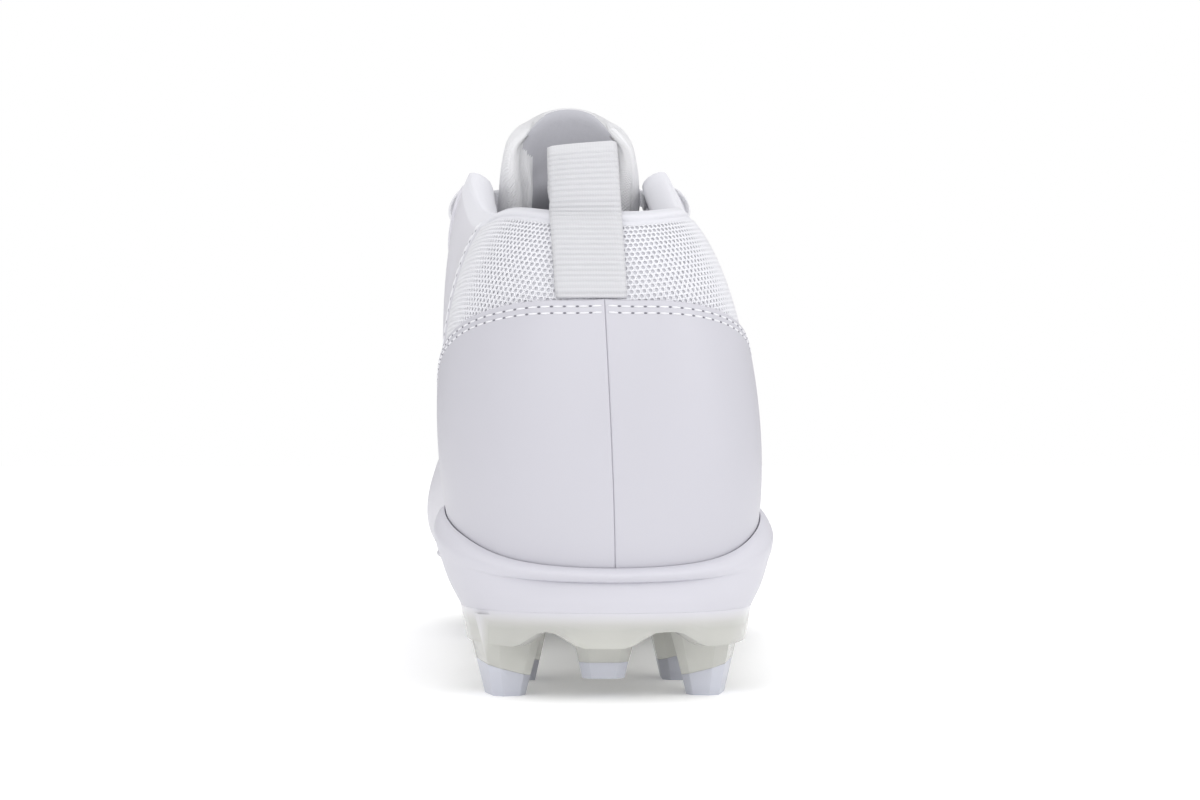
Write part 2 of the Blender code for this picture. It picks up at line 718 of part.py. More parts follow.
def main():
    clear_scene()
    parts = new_collection("football_cleat")
    cutters = new_collection("cutters")
    shoe = bpy.data.objects.new("shoe", None)
    shoe.location = (-FOOTPRINT_CENTRE[0] * MM, -FOOTPRINT_CENTRE[1] * MM, 0)
    parts.objects.link(shoe)
    build_sole(parts, cutters, shoe)
    build_upper(parts, shoe)
    build_overlays(parts, shoe)
    build_tongue(parts, shoe)
    build_pull_loop(parts, shoe)
    build_lace(parts, cutters, shoe)


main()
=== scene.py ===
"""Looks of a right-foot football cleat: finished surfaces, mesh, stitching, lace and studio stage.

The shoe is worked out in millimetres, with the back of the heel at y = 0, the toe along +Y, the outer
(lateral) side along +X and the floor at z = 0. row_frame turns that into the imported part's frame.
"""

import functools
import math
from collections import namedtuple

import bmesh
import bpy
import numpy as np
from bpy.props import FloatProperty, FloatVectorProperty, PointerProperty
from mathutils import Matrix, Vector


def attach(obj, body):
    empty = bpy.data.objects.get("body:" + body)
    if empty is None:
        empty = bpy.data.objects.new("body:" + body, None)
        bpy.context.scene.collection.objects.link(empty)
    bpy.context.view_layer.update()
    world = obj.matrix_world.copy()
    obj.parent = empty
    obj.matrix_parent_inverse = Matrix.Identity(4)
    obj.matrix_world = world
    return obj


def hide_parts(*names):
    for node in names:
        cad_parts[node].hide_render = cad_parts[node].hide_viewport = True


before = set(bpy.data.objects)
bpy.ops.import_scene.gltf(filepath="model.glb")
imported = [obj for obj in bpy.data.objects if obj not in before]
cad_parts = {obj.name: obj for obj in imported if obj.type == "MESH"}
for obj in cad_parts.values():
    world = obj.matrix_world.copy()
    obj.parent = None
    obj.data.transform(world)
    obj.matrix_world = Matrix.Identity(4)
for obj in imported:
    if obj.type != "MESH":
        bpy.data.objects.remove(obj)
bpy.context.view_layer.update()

bl_info = {
    "name": "Football cleat looks",
    "version": (1, 0, 0),
    "blender": (4, 5, 0),
    "location": "View3D > Sidebar > Cleat",
    "description": "Finished surfaces, mesh, stitching, lace and studio stage of a right football cleat",
    "category": "Object",
}

MM = 0.001

# Sizes shared with the solids, in millimetres
FOOTPRINT_CENTRE = np.array([2.26, 148.65, 0.0])
GAP = 0.3
WALL = 2.2
COLLAR_WALL = 7.0
PANEL_THICK = 1.2
RIM_STAND = 3.7
RIM_BEAD = 0.9
RIM_FLANK = 2.2
PLATE_WALL = 4.5
PLATE_RECESS_SHARE = 0.55
ARCH_SHARE = 0.45
STUD_HEAD_SHARE = 0.80
STUD_SPLIT = 6.2
STUD_CHAMFER = 2.6
INSOLE_THICK = 4.0
TONGUE_CLEAR = 0.9
WEBBING_WIDE = 15.8
WEBBING_THICK = 1.3
RIBS_PER_ROW = 4

# Ribs of the upper, once round the shoe from the back of the heel by the lateral side.
# bulge and rise place the lower handle, out from and above the foot.
# share, shoulder and drop place the upper handle: part of the way back to the foot, out, and down.
Rib = namedtuple("Rib", "name foot_x foot_y bulge rise share shoulder drop top_x top_y top_z")
RIBS = [
    Rib("heel back", 0.0, 7.5, 8.0, 22, 0.00, 9.5, 14, -3.0, 14, 109.8),
    Rib("heel corner, lateral", 20.0, 13.0, 9.5, 22, 0.00, 12.5, 12, 9.0, 17, 110.4),
    Rib("heel side, lateral", 29.5, 30.0, 10.0, 22, 0.00, 15.0, 12, 17.0, 33, 112.6),
    Rib("quarter, lateral", 31.0, 58.0, 9.0, 24, 0.00, 12.5, 16, 18.0, 62, 116.8),
    Rib("waist, lateral", 33.0, 95.0, 7.0, 28, 0.00, 12.0, 24, 16.2, 95, 127.5),
    Rib("shank, lateral", 39.0, 135.0, 6.0, 26, 0.00, 17.0, 16, 13.5, 130, 109.0),
    Rib("instep, lateral", 44.5, 167.0, 5.0, 24, 0.05, 18.0, 14, 13.0, 155, 97.0),
    Rib("ball, lateral", 47.0, 199.0, 4.0, 21, 0.15, 17.0, 12, 12.0, 178, 86.5),
    Rib("forefoot, lateral", 43.5, 235.0, 4.0, 18, 0.35, 10.0, 13, 9.0, 191, 80.0),
    Rib("toe corner, lateral", 29.5, 271.0, 4.0, 17, 0.50, 6.0, 16, 5.0, 197, 77.0),
    Rib("toe tip", -3.5, 291.0, 4.5, 17, 0.50, 4.0, 17, -1.5, 199, 76.0),
    Rib("toe corner, medial", -31.0, 276.0, 4.0, 17, 0.50, 6.0, 16, -7.5, 197, 77.0),
    Rib("forefoot, medial", -37.0, 245.0, 11.0, 12, 0.35, 10.0, 13, -12.0, 191, 80.0),
    Rib("ball, medial", -34.6, 209.0, 29.5, 11, 0.15, 17.0, 12, -15.0, 178, 86.5),
    Rib("instep, medial", -33.0, 170.0, 12.0, 16, 0.05, 17.0, 14, -18.0, 155, 97.0),
    Rib("shank, medial", -30.5, 135.0, 9.0, 26, 0.00, 16.0, 16, -21.5, 130, 109.0),
    Rib("waist, medial", -29.0, 95.0, 10.0, 28, 0.00, 11.0, 24, -32.5, 93, 127.0),
    Rib("quarter, medial", -31.0, 58.0, 11.0, 24, 0.00, 11.5, 16, -30.5, 60, 115.2),
    Rib("heel side, medial", -30.5, 30.0, 11.5, 22, 0.00, 15.5, 12, -24.0, 32, 112.2),
    Rib("heel corner, medial", -20.0, 13.0, 10.0, 22, 0.00, 12.5, 12, -14.5, 17, 110.4),
]
ROUND = len(RIBS)
TOE = ROUND // 2

# Heights along the sole, and how far the seam stands out from the foot of the upper
Station = namedtuple("Station", "y base seam floor groove rim spread")
SOLE = [
    Station(0, 12.0, 20.0, 25.0, 25.8, 28.2, 3.0),
    Station(12, 12.0, 20.0, 25.0, 27.5, 31.4, 3.2),
    Station(25, 12.2, 20.1, 25.0, 30.8, 37.2, 3.4),
    Station(45, 13.0, 20.6, 25.0, 33.4, 42.6, 3.4),
    Station(72, 15.0, 22.0, 25.2, 33.0, 42.4, 3.2),
    Station(110, 17.6, 23.2, 25.6, 29.6, 35.0, 2.2),
    Station(150, 15.2, 20.4, 23.8, 25.6, 29.2, 1.4),
    Station(200, 11.0, 16.0, 20.0, 21.6, 25.2, 1.2),
    Station(235, 11.8, 16.8, 20.8, 22.4, 26.0, 1.2),
    Station(270, 16.0, 21.0, 24.8, 26.6, 30.6, 1.2),
    Station(300, 22.5, 27.5, 31.0, 33.0, 37.4, 1.2),
]

# Studs: middle of the foot, size of the foot along and across, turn, height of the foot off the floor
Stud = namedtuple("Stud", "name x y long wide turn foot")
STUDS = [
    Stud("heel_rear_lateral", 22.0, 27, 12, 7.6, -14, 0.0),
    Stud("heel_rear_medial", -24.4, 27, 12, 7.6, 14, 0.0),
    Stud("heel_front_lateral", 18.0, 62, 12, 7.6, 0, 0.0),
    Stud("heel_front_medial", -20.8, 62, 12, 7.6, 0, 0.0),
    Stud("heel_centre", -2.0, 20, 6, 9.6, 0, 4.3),
    Stud("ball_rear_lateral", 35.5, 172, 12, 7.6, -8, 0.0),
    Stud("ball_rear_medial", -26.5, 182, 12, 7.6, 8, 0.0),
    Stud("ball_lateral", 38.0, 206, 12, 7.6, 0, 0.0),
    Stud("ball_medial", -27.6, 214, 12, 7.6, 0, 0.0),
    Stud("fore_lateral", 30.5, 240, 12, 7.6, 18, 0.0),
    Stud("fore_medial", -27.8, 247, 12, 7.6, -10, 0.0),
    Stud("toe", -3.5, 270, 7, 12.0, 0, 2.5),
]

# How far the heads of the rear studs run out at the back, to stand flush with the plate's wall
STUD_FLARES = {"heel_rear_lateral": 0.6, "heel_rear_medial": 0.6, "heel_centre": 7.6}
FLARED_HEAD_SHARE = 0.86
STUD_DRAFT = 0.44
STUD_JOINT_LEAN = 0.28

# Top line of the heel counter: place round the shoe in ribs, share of the way up the rib
COUNTER_TOP = [
    (0.0, 0.705),
    (1.0, 0.682),
    (2.0, 0.605),
    (3.0, 0.480),
    (3.6, 0.365),
    (4.0, 0.260),
    (4.25, 0.17),
]

# Eyestay from its top corner to the middle of the throat: rib, and the shares of its two edges
Eyestay = namedtuple("Eyestay", "rib inner outer")
EYESTAY = [
    Eyestay(3.75, 0.970, 0.80),
    Eyestay(4.00, 0.980, 0.77),
    Eyestay(5.00, 0.985, 0.74),
    Eyestay(6.00, 0.985, 0.71),
    Eyestay(7.00, 0.985, 0.73),
    Eyestay(8.00, 0.985, 0.81),
    Eyestay(9.00, 0.985, 0.855),
    Eyestay(10.0, 0.985, 0.865),
]
EYELETS = [4.30, 4.90, 5.50, 6.15, 6.85, 7.60]
EYELET_SHARE = 0.885

# Free end of the tongue: crest and side edges of each section above the top eyelets
TongueEnd = namedtuple("TongueEnd", "crest_y crest_z edge_y edge_z half_wide")
TONGUE_END = [
    TongueEnd(101.0, 125.5, 91.0, 110.0, 19.8),
    TongueEnd(97.0, 133.0, 85.0, 118.5, 18.8),
    TongueEnd(94.8, 139.0, 82.5, 126.5, 18.2),
    TongueEnd(93.8, 143.2, 84.0, 134.0, 16.8),
    TongueEnd(93.6, 145.6, 88.5, 140.6, 12.0),
]
TONGUE_MIDDLE = -7.8
TONGUE_SEWN = 37
TONGUE_FREE = 19
TONGUE_ROLL = 6.6
TONGUE_PAD = 4.3
TONGUE_KNIT_WIDE = 7.4

# The tongue's grid, and the soft ridge inside each of its edges, by columns of that grid
TONGUE_ROWS = 120
TONGUE_COLUMNS = 56
RIDGE_HIGH = 4.2
RIDGE_COLUMN = 11
RIDGE_HALF_COLUMNS = 2.6
RIDGE_LAST_COLUMN = 14

# Pull loop, seen from the side: how far behind the collar edge and how high each bend is
LOOP_BENDS = [
    (1.6, 114.5),
    (2.4, 119.5),
    (4.2, 123.8),
    (7.2, 126.0),
    (10.4, 124.2),
    (12.2, 119.8),
    (12.0, 114.5),
]
LOOP_CLIMB = (92.6, 97.0, 101.5, 106.0, 109.5)
LOOP_FOOT = 90.2
LOOP_TUCK = 95.0
LOOP_COLUMNS = 17
LOOP_MIDDLE = -5.2
LOOP_LEAN = 0.05
LOOP_TILT = 0.08

# The mesh panel ends under the quarter panels, and the binding at the ears, this many ribs from the heel
MESH_END = 2.5
EAR_END = 4.35
QUARTER_STAND = 0.7

# Rolled edge of the binding, and the whole of it, down from the collar's top
BINDING_WIDE = 2.0
BAND_END = 3.9

# Ribs where the upper is creased at the medial quarter, and where it flexes over the toes
CREASE_PLACE = -3.05
FLEX_PLACES = (7.35, 7.9)

# How much slimmer the midsole's rim is round the forefoot
RIM_SLIM = 1.0

# The insole's top from its rim to its middle: share of the way out, share of its thickness
INSOLE_TOP = [(1.0, 0.55), (0.985, 0.85), (0.95, 1.0), (0.85, 1.0), (0.6, 0.97), (0.3, 0.97), (0.0, 0.97)]

# Camera at the photo's height and side, aimed at the middle of the one shoe
CAMERA_AT = (-0.0281, -0.6560, 0.0570)
CAMERA_AIM = (0.0439, 1.0025, 0.0204)
CAMERA_LENS = 69.15

# Brightness of the white surroundings at the floor and overhead, and of the glow through the floor
SKY_LOW = 0.36
SKY_HIGH = 1.40
FLOOR_GLOW = 0.15

# Soft lights: place, point they are aimed at, width, height, power
LIGHTS = {
    "front_light": ((-0.2, -1.7, 1.1), (0, -0.1, 0.08), 1.6, 1.2, 8),
    "right_light": ((1.2, -0.9, 0.8), (0, 0, 0.06), 1.0, 1.0, 4),
}


# Curves through the tables


def blend(part, start, end, start_slope, end_slope):
    """Value part of the way between two values, with a given slope at each."""
    keep = (1 + 2 * part) * (1 - part) ** 2
    bend = part * (1 - part) ** 2 * start_slope - part**2 * (1 - part) * end_slope
    return keep * start + (1 - keep) * end + bend


def closed_spline(values):
    """Smooth closed curve through evenly spaced values, as a function of the place round it."""
    values = np.asarray(values, float)
    count = len(values)
    system = 4 * np.eye(count) + np.roll(np.eye(count), 1, axis=0) + np.roll(np.eye(count), -1, axis=0)
    slopes = np.linalg.solve(system, 3 * (np.roll(values, -1) - np.roll(values, 1)))

    def at(place):
        first = math.floor(place)
        a, b = first % count, (first + 1) % count
        return blend(place - first, values[a], values[b], slopes[a], slopes[b])

    return at


def open_spline(stops):
    """Smooth curve through (place, value) stops, flat beyond both ends."""
    places = np.array([stop[0] for stop in stops], float)
    values = np.array([stop[1] for stop in stops], float)
    slopes = np.gradient(values, places)

    def at(place):
        place = min(max(place, places[0]), places[-1])
        a = min(int(np.searchsorted(places, place, "right")) - 1, len(places) - 2)
        step = places[a + 1] - places[a]
        part = (place - places[a]) / step
        return blend(part, values[a], values[a + 1], step * slopes[a], step * slopes[a + 1])

    return at


def smooth_line(points, count):
    """Points spread evenly by number along a smooth line, or set of lines, through the given ones."""
    points = np.asarray(points, float)
    slopes = np.gradient(points, axis=0)
    places = np.linspace(0, len(points) - 1, count)
    first = np.minimum(places.astype(int), len(points) - 2)
    part = (places - first).reshape(-1, *[1] * (points.ndim - 1))
    return blend(part, points[first], points[first + 1], slopes[first], slopes[first + 1])


def smooth_step(value, low, high):
    part = np.clip((np.asarray(value, float) - low) / (high - low), 0, 1)
    return part * part * (3 - 2 * part)


def rounded_edge(distance, radius):
    """0 at an edge, rising as a quarter circle to 1 at the radius."""
    return np.sqrt(1 - (1 - np.clip(np.asarray(distance, float) / radius, 0, 1)) ** 2)


def unit(vectors):
    return vectors / np.linalg.norm(vectors, axis=-1, keepdims=True)


def run_along(points):
    """Length walked from the first of the points to each of them."""
    steps = np.linalg.norm(np.diff(points, axis=0), axis=-1)
    return np.concatenate([np.zeros((1, *steps.shape[1:])), np.cumsum(steps, axis=0)])


RIB_AT = {field: closed_spline([getattr(rib, field) for rib in RIBS]) for field in Rib._fields[1:]}
SOLE_AT = {field: open_spline([(at.y, getattr(at, field)) for at in SOLE]) for field in Station._fields[1:]}
COUNTER_SHARE = open_spline(COUNTER_TOP)
EYESTAY_INNER = open_spline([(row.rib, row.inner) for row in EYESTAY])
EYESTAY_OUTER = open_spline([(row.rib, row.outer) for row in EYESTAY])


# The upper's own surface


def ribs_from_heel(rib):
    """How many ribs a place is from the back of the heel, by the nearer side."""
    return min(rib % ROUND, ROUND - rib % ROUND)


def outward(rib):
    """Level direction out of the shoe at the foot of a rib."""
    step = 0.01
    along_x = RIB_AT["foot_x"](rib + step) - RIB_AT["foot_x"](rib - step)
    along_y = RIB_AT["foot_y"](rib + step) - RIB_AT["foot_y"](rib - step)
    return np.array([along_y, -along_x, 0]) / math.hypot(along_x, along_y)


@functools.lru_cache(maxsize=None)
def rib_handles(rib):
    """The four points that shape one rib."""
    at = {field: curve(rib) for field, curve in RIB_AT.items()}
    out = outward(rib)
    foot = np.array([at["foot_x"], at["foot_y"], SOLE_AT["floor"](at["foot_y"]) + GAP])
    top = np.array([at["top_x"], at["top_y"], at["top_z"]])
    lower = foot + at["bulge"] * out + np.array([0, 0, at["rise"]])
    level = np.array([foot[0] - top[0], foot[1] - top[1], 0])
    upper = top + at["share"] * level + at["shoulder"] * out - np.array([0, 0, at["drop"]])
    return np.array([foot, lower, upper, top])


def rib_line(rib, shares):
    """Points of the upper's outside, shares of the way up a rib."""
    foot, lower, upper, top = rib_handles(rib)
    share = np.asarray(shares, float)[:, None]
    rest = 1 - share
    return rest**3 * foot + 3 * rest**2 * share * lower + 3 * rest * share**2 * upper + share**3 * top


def rib_normals(rib, shares):
    """Directions out of the upper at shares of the way up a rib."""
    foot, lower, upper, top = rib_handles(rib)
    share = np.asarray(shares, float)[:, None]
    rest = 1 - share
    up = rest**2 * (lower - foot) + 2 * rest * share * (upper - lower) + share**2 * (top - upper)
    step = 0.01
    across = rib_line(rib + step, shares) - rib_line(rib - step, shares)
    return unit(np.cross(across, up))


def point_at(rib, share):
    return rib_line(rib, [share])[0]


def normal_at(rib, share):
    return rib_normals(rib, [share])[0]


def skin_line(rib, shares, offsets):
    """Points along a rib at distances out from the upper's outside, or into the shoe when negative."""
    offsets = np.broadcast_to(np.asarray(offsets, float), np.shape(shares))
    return rib_line(rib, shares) + offsets[:, None] * rib_normals(rib, shares)


def skin(rib, share, offset):
    return skin_line(rib, [share], [offset])[0]


def wall_thickness(rib, share):
    """Thin over the foot, padded round the collar up to the eyestay's top corners."""
    padding = (1 - smooth_step(ribs_from_heel(rib), 3.5, 4.6)) * smooth_step(share, 0.40, 0.85)
    return WALL + (COLLAR_WALL - WALL) * padding


def share_at_height(rib, height):
    """How far up a rib a height is."""
    shares = np.linspace(0, 1, 161)
    return float(np.interp(height, rib_line(rib, shares)[:, 2], shares))


def share_below(rib, distances, start=1.0):
    """Shares reached by going distances down a rib from a starting share."""
    shares = np.linspace(start, 0, 161)
    return np.interp(distances, run_along(rib_line(rib, shares)), shares)


def distance_below(rib, shares):
    """Distances of shares of a rib below its top."""
    steps = np.linspace(1, 0, 161)
    run = run_along(rib_line(rib, steps))
    return np.interp(shares, steps[::-1], run[::-1])


def heel_place(x, height):
    """Rib and share of the point at the back of the heel with this x and height."""
    low, high = -2.0, 2.0
    for _ in range(24):
        middle = (low + high) / 2
        if skin(middle, share_at_height(middle, height), 0)[0] < x:
            low = middle
        else:
            high = middle
    rib = (low + high) / 2
    return rib, share_at_height(rib, height)


def spine(rib):
    """Point of the shoe's middle line that a rib's floor runs to: the same one for both sides."""
    lateral = rib if rib <= TOE else ROUND - rib
    x = (RIB_AT["foot_x"](lateral) + RIB_AT["foot_x"](-lateral)) / 2
    y = (RIB_AT["foot_y"](lateral) + RIB_AT["foot_y"](-lateral)) / 2
    back, front = RIB_AT["foot_y"](0), RIB_AT["foot_y"](TOE)
    inset = 16.0
    return x, back + inset + (y - back) * (front - back - 2 * inset) / (front - back)


# Meshes and pieces


def row_frame(points):
    """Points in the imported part's frame, in metres."""
    return (np.asarray(points, float) - FOOTPRINT_CENTRE) * MM


def grid_part(points, close_rows=False, close_columns=False):
    """Points and quads of a grid, with a pattern place in millimetres for each point."""
    points = np.asarray(points, float)
    rows, columns = points.shape[:2]
    index = np.arange(rows * columns).reshape(rows, columns)
    if close_rows:
        index = np.vstack([index, index[:1]])
    if close_columns:
        index = np.hstack([index, index[:, :1]])
    corners = [index[:-1, :-1], index[1:, :-1], index[1:, 1:], index[:-1, 1:]]
    quads = np.stack(corners, -1).reshape(-1, 4).tolist()
    along = run_along(points)
    across = run_along(points.swapaxes(0, 1)).T
    pattern = np.stack([across, along, np.zeros_like(along)], -1)
    return points.reshape(-1, 3), quads, pattern.reshape(-1, 3)


def tube_part(loops):
    """Grid closed across its rows and capped at both ends."""
    points, faces, pattern = grid_part(loops, close_columns=True)
    around = len(loops[0])
    last = len(points) - around
    caps = [list(range(around)), list(range(last, last + around))]
    return points, faces + caps, pattern


def slab_part(outer, inner):
    """Closed slab between two equal grids."""
    return tube_part(np.concatenate([outer, np.asarray(inner)[:, ::-1]], axis=1))


def mesh_of(name, parts, merge=False, sharp_angle=None):
    """One mesh from closed parts, with its faces turned outwards and soft shading."""
    points, faces, patterns = [], [], []
    for part_points, part_faces, part_pattern in parts:
        first = len(points)
        points.extend(row_frame(part_points).tolist())
        faces.extend([[first + corner for corner in face] for face in part_faces])
        patterns.append(part_pattern)
    mesh = bpy.data.meshes.new(name)
    mesh.from_pydata(points, [], faces)
    pattern = mesh.attributes.new("pattern_mm", "FLOAT_VECTOR", "POINT")
    pattern.data.foreach_set("vector", np.concatenate(patterns).astype(np.float32).ravel())
    edit = bmesh.new()
    edit.from_mesh(mesh)
    if merge:
        bmesh.ops.remove_doubles(edit, verts=edit.verts, dist=0.002 * MM)
    bmesh.ops.recalc_face_normals(edit, faces=edit.faces)
    edit.to_mesh(mesh)
    edit.free()
    mesh.shade_smooth()
    if sharp_angle:
        mesh.set_sharp_from_angle(angle=math.radians(sharp_angle))
    return mesh


def new_object(name, data):
    """Object linked to the scene."""
    obj = bpy.data.objects.new(name, data)
    bpy.context.scene.collection.objects.link(obj)
    return obj


def add_piece(name, mesh, materials, nodes=()):
    """Object that rides on the shoe, and stands for the named nodes."""
    for material in materials:
        mesh.materials.append(material)
    obj = new_object(name, mesh)
    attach(obj, "root")
    if nodes:
        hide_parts(*nodes)
    return obj


def evaluated_mesh(obj, name):
    """Plain mesh of an object with its modifiers applied, and the object removed."""
    graph = bpy.context.evaluated_depsgraph_get()
    mesh = bpy.data.meshes.new_from_object(obj.evaluated_get(graph), depsgraph=graph)
    mesh.name = name
    bpy.data.objects.remove(obj)
    return mesh


def bevelled_mesh(mesh, width, angle, sharp_angle):
    """Mesh with its sharp edges rounded over, and soft shading up to an angle."""
    helper = new_object("bevel_helper", mesh)
    bevel = helper.modifiers.new("round", "BEVEL")
    bevel.width = width * MM
    bevel.segments = 2
    bevel.limit_method = "ANGLE"
    bevel.angle_limit = math.radians(angle)
    bevel.harden_normals = False
    rounded = evaluated_mesh(helper, mesh.name)
    rounded.shade_smooth()
    rounded.set_sharp_from_angle(angle=math.radians(sharp_angle))
    return rounded


# Shapes set on points by geometry nodes


def add_node(tree, kind, inputs=None, **settings):
    """Node with its settings, input values and links."""
    node = tree.nodes.new(kind)
    for name, value in settings.items():
        setattr(node, name, value)
    for key, value in (inputs or {}).items():
        if isinstance(value, bpy.types.NodeSocket):
            tree.links.new(value, node.inputs[key])
        else:
            node.inputs[key].default_value = value
    return node


def start_tree(name, sizes):
    """Geometry tree with its geometry, named sizes and material as inputs."""
    tree = bpy.data.node_groups.new(name, "GeometryNodeTree")
    tree.interface.new_socket("Geometry", in_out="INPUT", socket_type="NodeSocketGeometry")
    for size in sizes:
        tree.interface.new_socket(size, in_out="INPUT", socket_type="NodeSocketFloat")
    tree.interface.new_socket("Material", in_out="INPUT", socket_type="NodeSocketMaterial")
    tree.interface.new_socket("Geometry", in_out="OUTPUT", socket_type="NodeSocketGeometry")
    return tree, add_node(tree, "NodeGroupInput")


def end_tree(tree, given, shape):
    """Sets the shape on every point, turned by the point's own directions, as one plain mesh."""
    out, run = (
        add_node(tree, "GeometryNodeInputNamedAttribute", {"Name": name}, data_type="FLOAT_VECTOR").outputs[0]
        for name in ("out_dir", "run_dir")
    )
    upright = add_node(tree, "FunctionNodeAlignRotationToVector", {"Vector": out}, axis="Z").outputs[0]
    aim = {"Rotation": upright, "Vector": run}
    turned = add_node(tree, "FunctionNodeAlignRotationToVector", aim, axis="X", pivot_axis="Z").outputs[0]
    setting = {"Points": given.outputs["Geometry"], "Instance": shape, "Rotation": turned}
    placed = add_node(tree, "GeometryNodeInstanceOnPoints", setting).outputs[0]
    real = add_node(tree, "GeometryNodeRealizeInstances", {"Geometry": placed}).outputs[0]
    soft = add_node(tree, "GeometryNodeSetShadeSmooth", {"Geometry": real}).outputs[0]
    dress = {"Geometry": soft, "Material": given.outputs["Material"]}
    dressed = add_node(tree, "GeometryNodeSetMaterial", dress).outputs[0]
    add_node(tree, "NodeGroupOutput", {"Geometry": dressed})
    return tree


def ring_tree(name, sides, wire_sides):
    """Tree that sets a ring of round wire on each point."""
    tree, given = start_tree(name, ["Ring Radius", "Wire Radius"])
    ring, wire = (
        add_node(
            tree, "GeometryNodeCurvePrimitiveCircle", {"Resolution": count, "Radius": given.outputs[size]}
        ).outputs[0]
        for count, size in ((sides, "Ring Radius"), (wire_sides, "Wire Radius"))
    )
    swept = add_node(tree, "GeometryNodeCurveToMesh", {"Curve": ring, "Profile Curve": wire})
    return end_tree(tree, given, swept.outputs[0])


def bead_tree(name):
    """Tree that sets a long bead, such as one stitch of thread, on each point."""
    tree, given = start_tree(name, ["Half Length", "Half Width", "Half Height"])
    ball = add_node(tree, "GeometryNodeMeshUVSphere", {"Segments": 8, "Rings": 5, "Radius": 1.0})
    halves = {axis: given.outputs[axis + 1] for axis in range(3)}
    size = add_node(tree, "ShaderNodeCombineXYZ", halves)
    bead = add_node(tree, "GeometryNodeTransform", {"Geometry": ball.outputs[0], "Scale": size.outputs[0]})
    return end_tree(tree, given, bead.outputs[0])


def add_set(name, tree, places, sizes, material):
    """Piece of a tree's shape on (point, out, run) places, with its sizes in metres."""
    points, outs, runs = (np.array(values, float) for values in zip(*places))
    mesh = bpy.data.meshes.new(name)
    mesh.from_pydata(row_frame(points).tolist(), [], [])
    for attribute, values in (("out_dir", outs), ("run_dir", runs)):
        layer = mesh.attributes.new(attribute, "FLOAT_VECTOR", "POINT")
        layer.data.foreach_set("vector", values.astype(np.float32).ravel())
    helper = new_object(name + "_points", mesh)
    modifier = helper.modifiers.new("set_shapes", "NODES")
    modifier.node_group = tree
    values = {**sizes, "Material": material}
    for item in tree.interface.items_tree:
        if item.in_out == "INPUT" and item.name in values:
            modifier[item.identifier] = values[item.name]
    helper.update_tag()
    made = evaluated_mesh(helper, name)
    made.materials.clear()
    add_piece(name, made, [material])


# Materials


def linear(hex_colour):
    """Linear colour of an sRGB hex value."""
    parts = [int(hex_colour[i : i + 2], 16) / 255 for i in (1, 3, 5)]
    return tuple(part / 12.92 if part <= 0.04045 else ((part + 0.055) / 1.055) ** 2.4 for part in parts)


def start_material(name, colour, roughness, **sockets):
    """Material with one Principled shader, its plain values set on its own sockets."""
    material = bpy.data.materials.new(name)
    material.use_nodes = True
    tree = material.node_tree
    shader = tree.nodes["Principled BSDF"]
    shader.inputs["Base Color"].default_value = (*colour, 1)
    shader.inputs["Roughness"].default_value = roughness
    for socket, value in sockets.items():
        shader.inputs[socket.replace("_", " ")].default_value = value
    return material, tree, shader


def mix_base(tree, shader, mask, low, high):
    """Base colour that goes from one colour to another with a mask."""
    colours = {"Factor": mask, 6: (*low, 1), 7: (*high, 1)}
    mix = add_node(tree, "ShaderNodeMix", colours, data_type="RGBA")
    tree.links.new(mix.outputs[2], shader.inputs["Base Color"])


def tint(tree, shader, colour, mask, darker):
    """Base colour that goes from a darker share of itself to itself with a mask."""
    mix_base(tree, shader, mask, [part * darker for part in colour], colour)


def raise_bumps(tree, shader, height, distance_mm, strength):
    relief = {"Height": height, "Distance": distance_mm * MM, "Strength": strength}
    bump = add_node(tree, "ShaderNodeBump", relief)
    tree.links.new(bump.outputs[0], shader.inputs["Normal"])


def noise_mm(tree, size_mm, detail=3.0):
    """Noise on the object's own coordinates with blotches of about this size."""
    place = add_node(tree, "ShaderNodeTexCoord").outputs["Object"]
    blotches = {"Vector": place, "Scale": 1 / (size_mm * MM), "Detail": detail}
    return add_node(tree, "ShaderNodeTexNoise", blotches).outputs[0]


def weave_mm(tree, across_mm, along_mm):
    """Crossed threads that follow the cloth, 0 between them and 1 on top."""
    place = add_node(tree, "ShaderNodeAttribute", attribute_name="pattern_mm").outputs["Vector"]
    one_wave = 0.314159
    threads = {}
    for index, (direction, pitch) in enumerate((("X", across_mm), ("Y", along_mm))):
        bands = {"Vector": place, "Scale": one_wave / pitch, "Distortion": 0.6}
        wave = add_node(tree, "ShaderNodeTexWave", bands, bands_direction=direction)
        threads[index] = wave.outputs["Fac"]
    return add_node(tree, "ShaderNodeMath", threads, operation="MULTIPLY").outputs[0]


def clouded(name, colour, roughness, patches, darker, grain=None, **sockets):
    """Material with patches of (size, detail) and, where given, a grain of (size, height, strength)."""
    colour = tuple(colour)
    material, tree, shader = start_material(name, colour, roughness, **sockets)
    tint(tree, shader, colour, noise_mm(tree, *patches), darker)
    if grain:
        size, height, strength = grain
        raise_bumps(tree, shader, noise_mm(tree, size, 2.0), height, strength)
    return material


def woven(name, colour, roughness, threads, darker, height, strength, **sockets):
    """Material with (across, along) threads, darker and lower between them."""
    colour = tuple(colour)
    material, tree, shader = start_material(name, colour, roughness, **sockets)
    weave = weave_mm(tree, *threads)
    tint(tree, shader, colour, weave, darker)
    raise_bumps(tree, shader, weave, height, strength)
    return material


def smooth_synthetic(name, colour):
    # Polyurethane-coated synthetic leather, rolled smooth: a dull satin sheet with faint cloudy patches.
    # The grain of the coating is about 0.15 mm and is drawn at 0.5 mm so that it shows.
    coat = {"Coat_Weight": 0.06, "Coat_Roughness": 0.35}
    return clouded(name, colour, 0.42, (22, 3.0), 0.965, (0.5, 0.05, 0.25), **coat)


